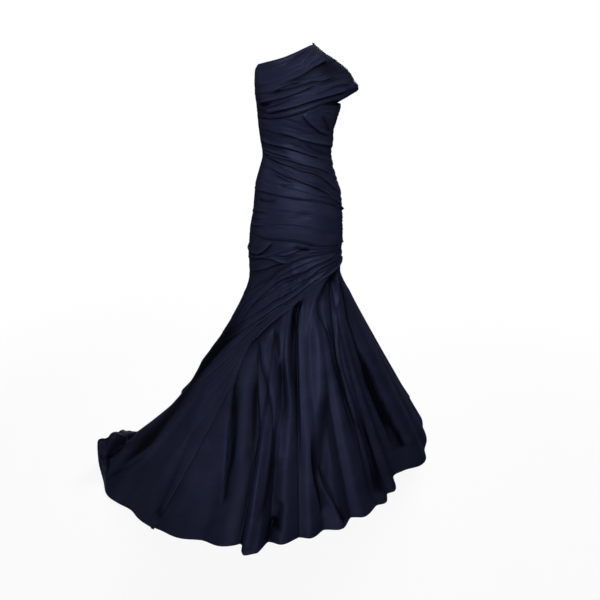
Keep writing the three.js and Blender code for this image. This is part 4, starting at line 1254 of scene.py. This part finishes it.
class GownStage(bpy.types.PropertyGroup):
    floor_colour: FloatVectorProperty(
        name="Floor colour", description="Colour of the studio paper",
        default=linear("#f4f4f5"), min=0.0, max=1.0, subtype="COLOR",
    )
    surround: FloatProperty(
        name="Surround", description="Strength of the even light from all round",
        default=0.025, min=0.0, max=3.0,
    )
    key_power: FloatProperty(
        name="Key power", description="Power of the narrow light in front", default=14.0, min=0.0,
        max=500.0, unit="POWER",
    )
    back_power: FloatProperty(
        name="Back power", description="Power of the large light behind the gown", default=150.0, min=0.0,
        max=500.0, unit="POWER",
    )
    side_power: FloatProperty(
        name="Side power", description="Power of the light on the train's side; the other side gets half",
        default=2.5, min=0.0, max=500.0, unit="POWER",
    )
    overhead_power: FloatProperty(
        name="Overhead power", description="Power of the wide light over the floor", default=40.0, min=0.0,
        max=1000.0, unit="POWER",
    )


class DrapeShoulder(bpy.types.Operator):
    """Make the pleated drape over the bust and the left shoulder, front and back"""

    bl_idname = "gown.drape_shoulder"
    bl_label = "Shoulder drape"

    def execute(self, context):
        front, back = "shoulder_drape_front", "shoulder_drape_back"
        wrap_panel(front, under_arm(fold_lines(front)), FRONT_ARMHOLE_TURN)
        wrap_panel(back, fold_lines(back), BACK_ARMHOLE_TURN)
        return {"FINISHED"}


class WrapBodice(bpy.types.Operator):
    """Make the ruched bodice, front and back"""

    bl_idname = "gown.wrap_bodice"
    bl_label = "Bodice"

    def execute(self, context):
        for node in ("bodice_front", "bodice_back"):
            wrap_panel(node, fold_lines(node, ARMHOLE_HEIGHT))
        return {"FINISHED"}


class WrapHips(bpy.types.Operator):
    """Make the wraps across the hips, front and back, and the folds above the swag"""

    bl_idname = "gown.wrap_hips"
    bl_label = "Hip and thigh wraps"

    def execute(self, context):
        for node in ("hip_wrap_front", "hip_wrap_back"):
            wrap_panel(node, fold_lines(node))
        wrap_panel("thigh_wrap_front", thigh_lines())
        return {"FINISHED"}


class DrapeSwag(bpy.types.Operator):
    """Make the swag that sweeps from the left hip to the train's lobe"""

    bl_idname = "gown.drape_swag"
    bl_label = "Swag"

    def execute(self, context):
        finish_piece("swag_panel", *swag_points())
        return {"FINISHED"}


class HangSkirt(bpy.types.Operator):
    """Make the fluted gores of the skirt and its train"""

    bl_idname = "gown.hang_skirt"
    bl_label = "Skirt and train"

    def execute(self, context):
        halves = ((FRONT_GORES, FRONT_GRID, front_spot), (BACK_GORES, BACK_GRID, back_spot))
        for gores, grid, spot_at in halves:
            for node, span in gores.items():
                finish_piece(node, *gore_points(span, grid, spot_at))
        return {"FINISHED"}


class SetStage(bpy.types.Operator):
    """Set the pale floor, the soft studio light and the camera at the photograph's angle"""

    bl_idname = "gown.set_stage"
    bl_label = "Stage, light and camera"

    def execute(self, context):
        stage = context.scene.gown_stage
        half = FLOOR_HALF
        floor_mesh = bpy.data.meshes.new("studio_floor")
        corners = [(-half, -half, 0), (half, -half, 0), (half, half, 0), (-half, half, 0)]
        floor_mesh.from_pydata(corners, [], [(0, 1, 2, 3)])
        floor = bpy.data.objects.new("studio_floor", floor_mesh)
        floor.location = (*FLOOR_CENTRE, -SHOULDER_REST[2] * MM)
        floor.data.materials.append(studio_paper(stage.floor_colour))
        context.scene.collection.objects.link(floor)
        floor.visible_diffuse = False
        floor.visible_glossy = False

        world = bpy.data.worlds.new("studio_surround")
        world.use_nodes = True
        world.node_tree.nodes.clear()
        white = (*linear("#ffffff"), 1)
        backdrop = add_node(world.node_tree, "ShaderNodeBackground", {"Color": white, "Strength": 1.0})
        fill = add_node(world.node_tree, "ShaderNodeBackground", {"Color": white, "Strength": stage.surround})
        path = add_node(world.node_tree, "ShaderNodeLightPath")
        both = add_node(
            world.node_tree, "ShaderNodeMixShader",
            links={0: path.outputs["Is Camera Ray"], 1: fill.outputs[0], 2: backdrop.outputs[0]},
        )
        add_node(world.node_tree, "ShaderNodeOutputWorld", links={"Surface": both.outputs[0]})
        context.scene.world = world

        def soft_light(name, power, size, spot, aim, beam=180):
            data = bpy.data.lights.new(name, "AREA")
            data.energy = power
            data.shape = "RECTANGLE"
            data.size, data.size_y = size
            data.spread = np.radians(beam)
            light = bpy.data.objects.new(name, data)
            light.location = spot
            way = np.subtract(aim, spot)
            level = np.hypot(way[0], way[1])
            light.rotation_euler = (np.arctan2(level, -way[2]), 0, np.arctan2(-way[0], way[1]))
            context.scene.collection.objects.link(light)

        soft_light("overhead_light", stage.overhead_power, (4.0, 4.0), (-0.3, 0.2, 2.8), (-0.3, 0.2, 0))
        soft_light("back_light", stage.back_power, (1.6, 1.2), (0.6, 3.6, 1.6), (-0.2, 0.2, -0.7))
        soft_light("key_light", stage.key_power, (1.3, 0.9), (0.0, -3.1, 0.7), (-0.12, 0, -0.45), 62)
        for name, share, side in (("right_side_light", 1.0, -1), ("left_side_light", 0.5, 1)):
            soft_light(name, share * stage.side_power, (1.2, 1.6), (side * 3.2, -0.9, 0.5), (0, 0, -0.7), 90)

        lens = bpy.data.cameras.new("photo_camera")
        lens.sensor_width = 36.0
        lens.lens = FOCAL_PIXELS / PICTURE * lens.sensor_width
        lens.shift_y = (PICTURE_CENTRE[1] - PICTURE / 2) / PICTURE
        camera = bpy.data.objects.new("photo_camera", lens)
        camera.location = (CAMERA_PLACE - SHOULDER_REST) * MM
        camera.rotation_euler = (np.pi / 2 - CAMERA_PITCH, 0, 0)
        context.scene.collection.objects.link(camera)
        context.scene.camera = camera
        context.scene.view_settings.view_transform = "Standard"
        return {"FINISHED"}


PIECES = (DrapeShoulder, WrapBodice, WrapHips, DrapeSwag, HangSkirt, SetStage)


class GownPanel(bpy.types.Panel):
    """The gown's sizes, colours and pieces"""

    bl_idname = "VIEW3D_PT_gown"
    bl_label = "Mermaid gown"
    bl_space_type = "VIEW_3D"
    bl_region_type = "UI"
    bl_category = "Gown"

    def draw(self, context):
        for group in (context.scene.gown_sizes, context.scene.gown_taffeta, context.scene.gown_stage):
            box = self.layout.box()
            for name in group.__annotations__:
                box.prop(group, name)
        for piece in PIECES:
            self.layout.operator(piece.bl_idname)


GROUPS = {"gown_sizes": GownSizes, "gown_taffeta": GownTaffeta, "gown_stage": GownStage}
CLASSES = (*GROUPS.values(), *PIECES, GownPanel)


def register():
    for item in CLASSES:
        bpy.utils.register_class(item)
    for name, group in GROUPS.items():
        setattr(bpy.types.Scene, name, PointerProperty(type=group))


def unregister():
    for name in GROUPS:
        delattr(bpy.types.Scene, name)
    for item in reversed(CLASSES):
        bpy.utils.unregister_class(item)


def main():
    register()
    bpy.ops.gown.set_stage()
    bpy.ops.gown.drape_shoulder()
    bpy.ops.gown.wrap_bodice()
    bpy.ops.gown.wrap_hips()
    bpy.ops.gown.drape_swag()
    bpy.ops.gown.hang_skirt()


if __name__ == "__main__":
    main()
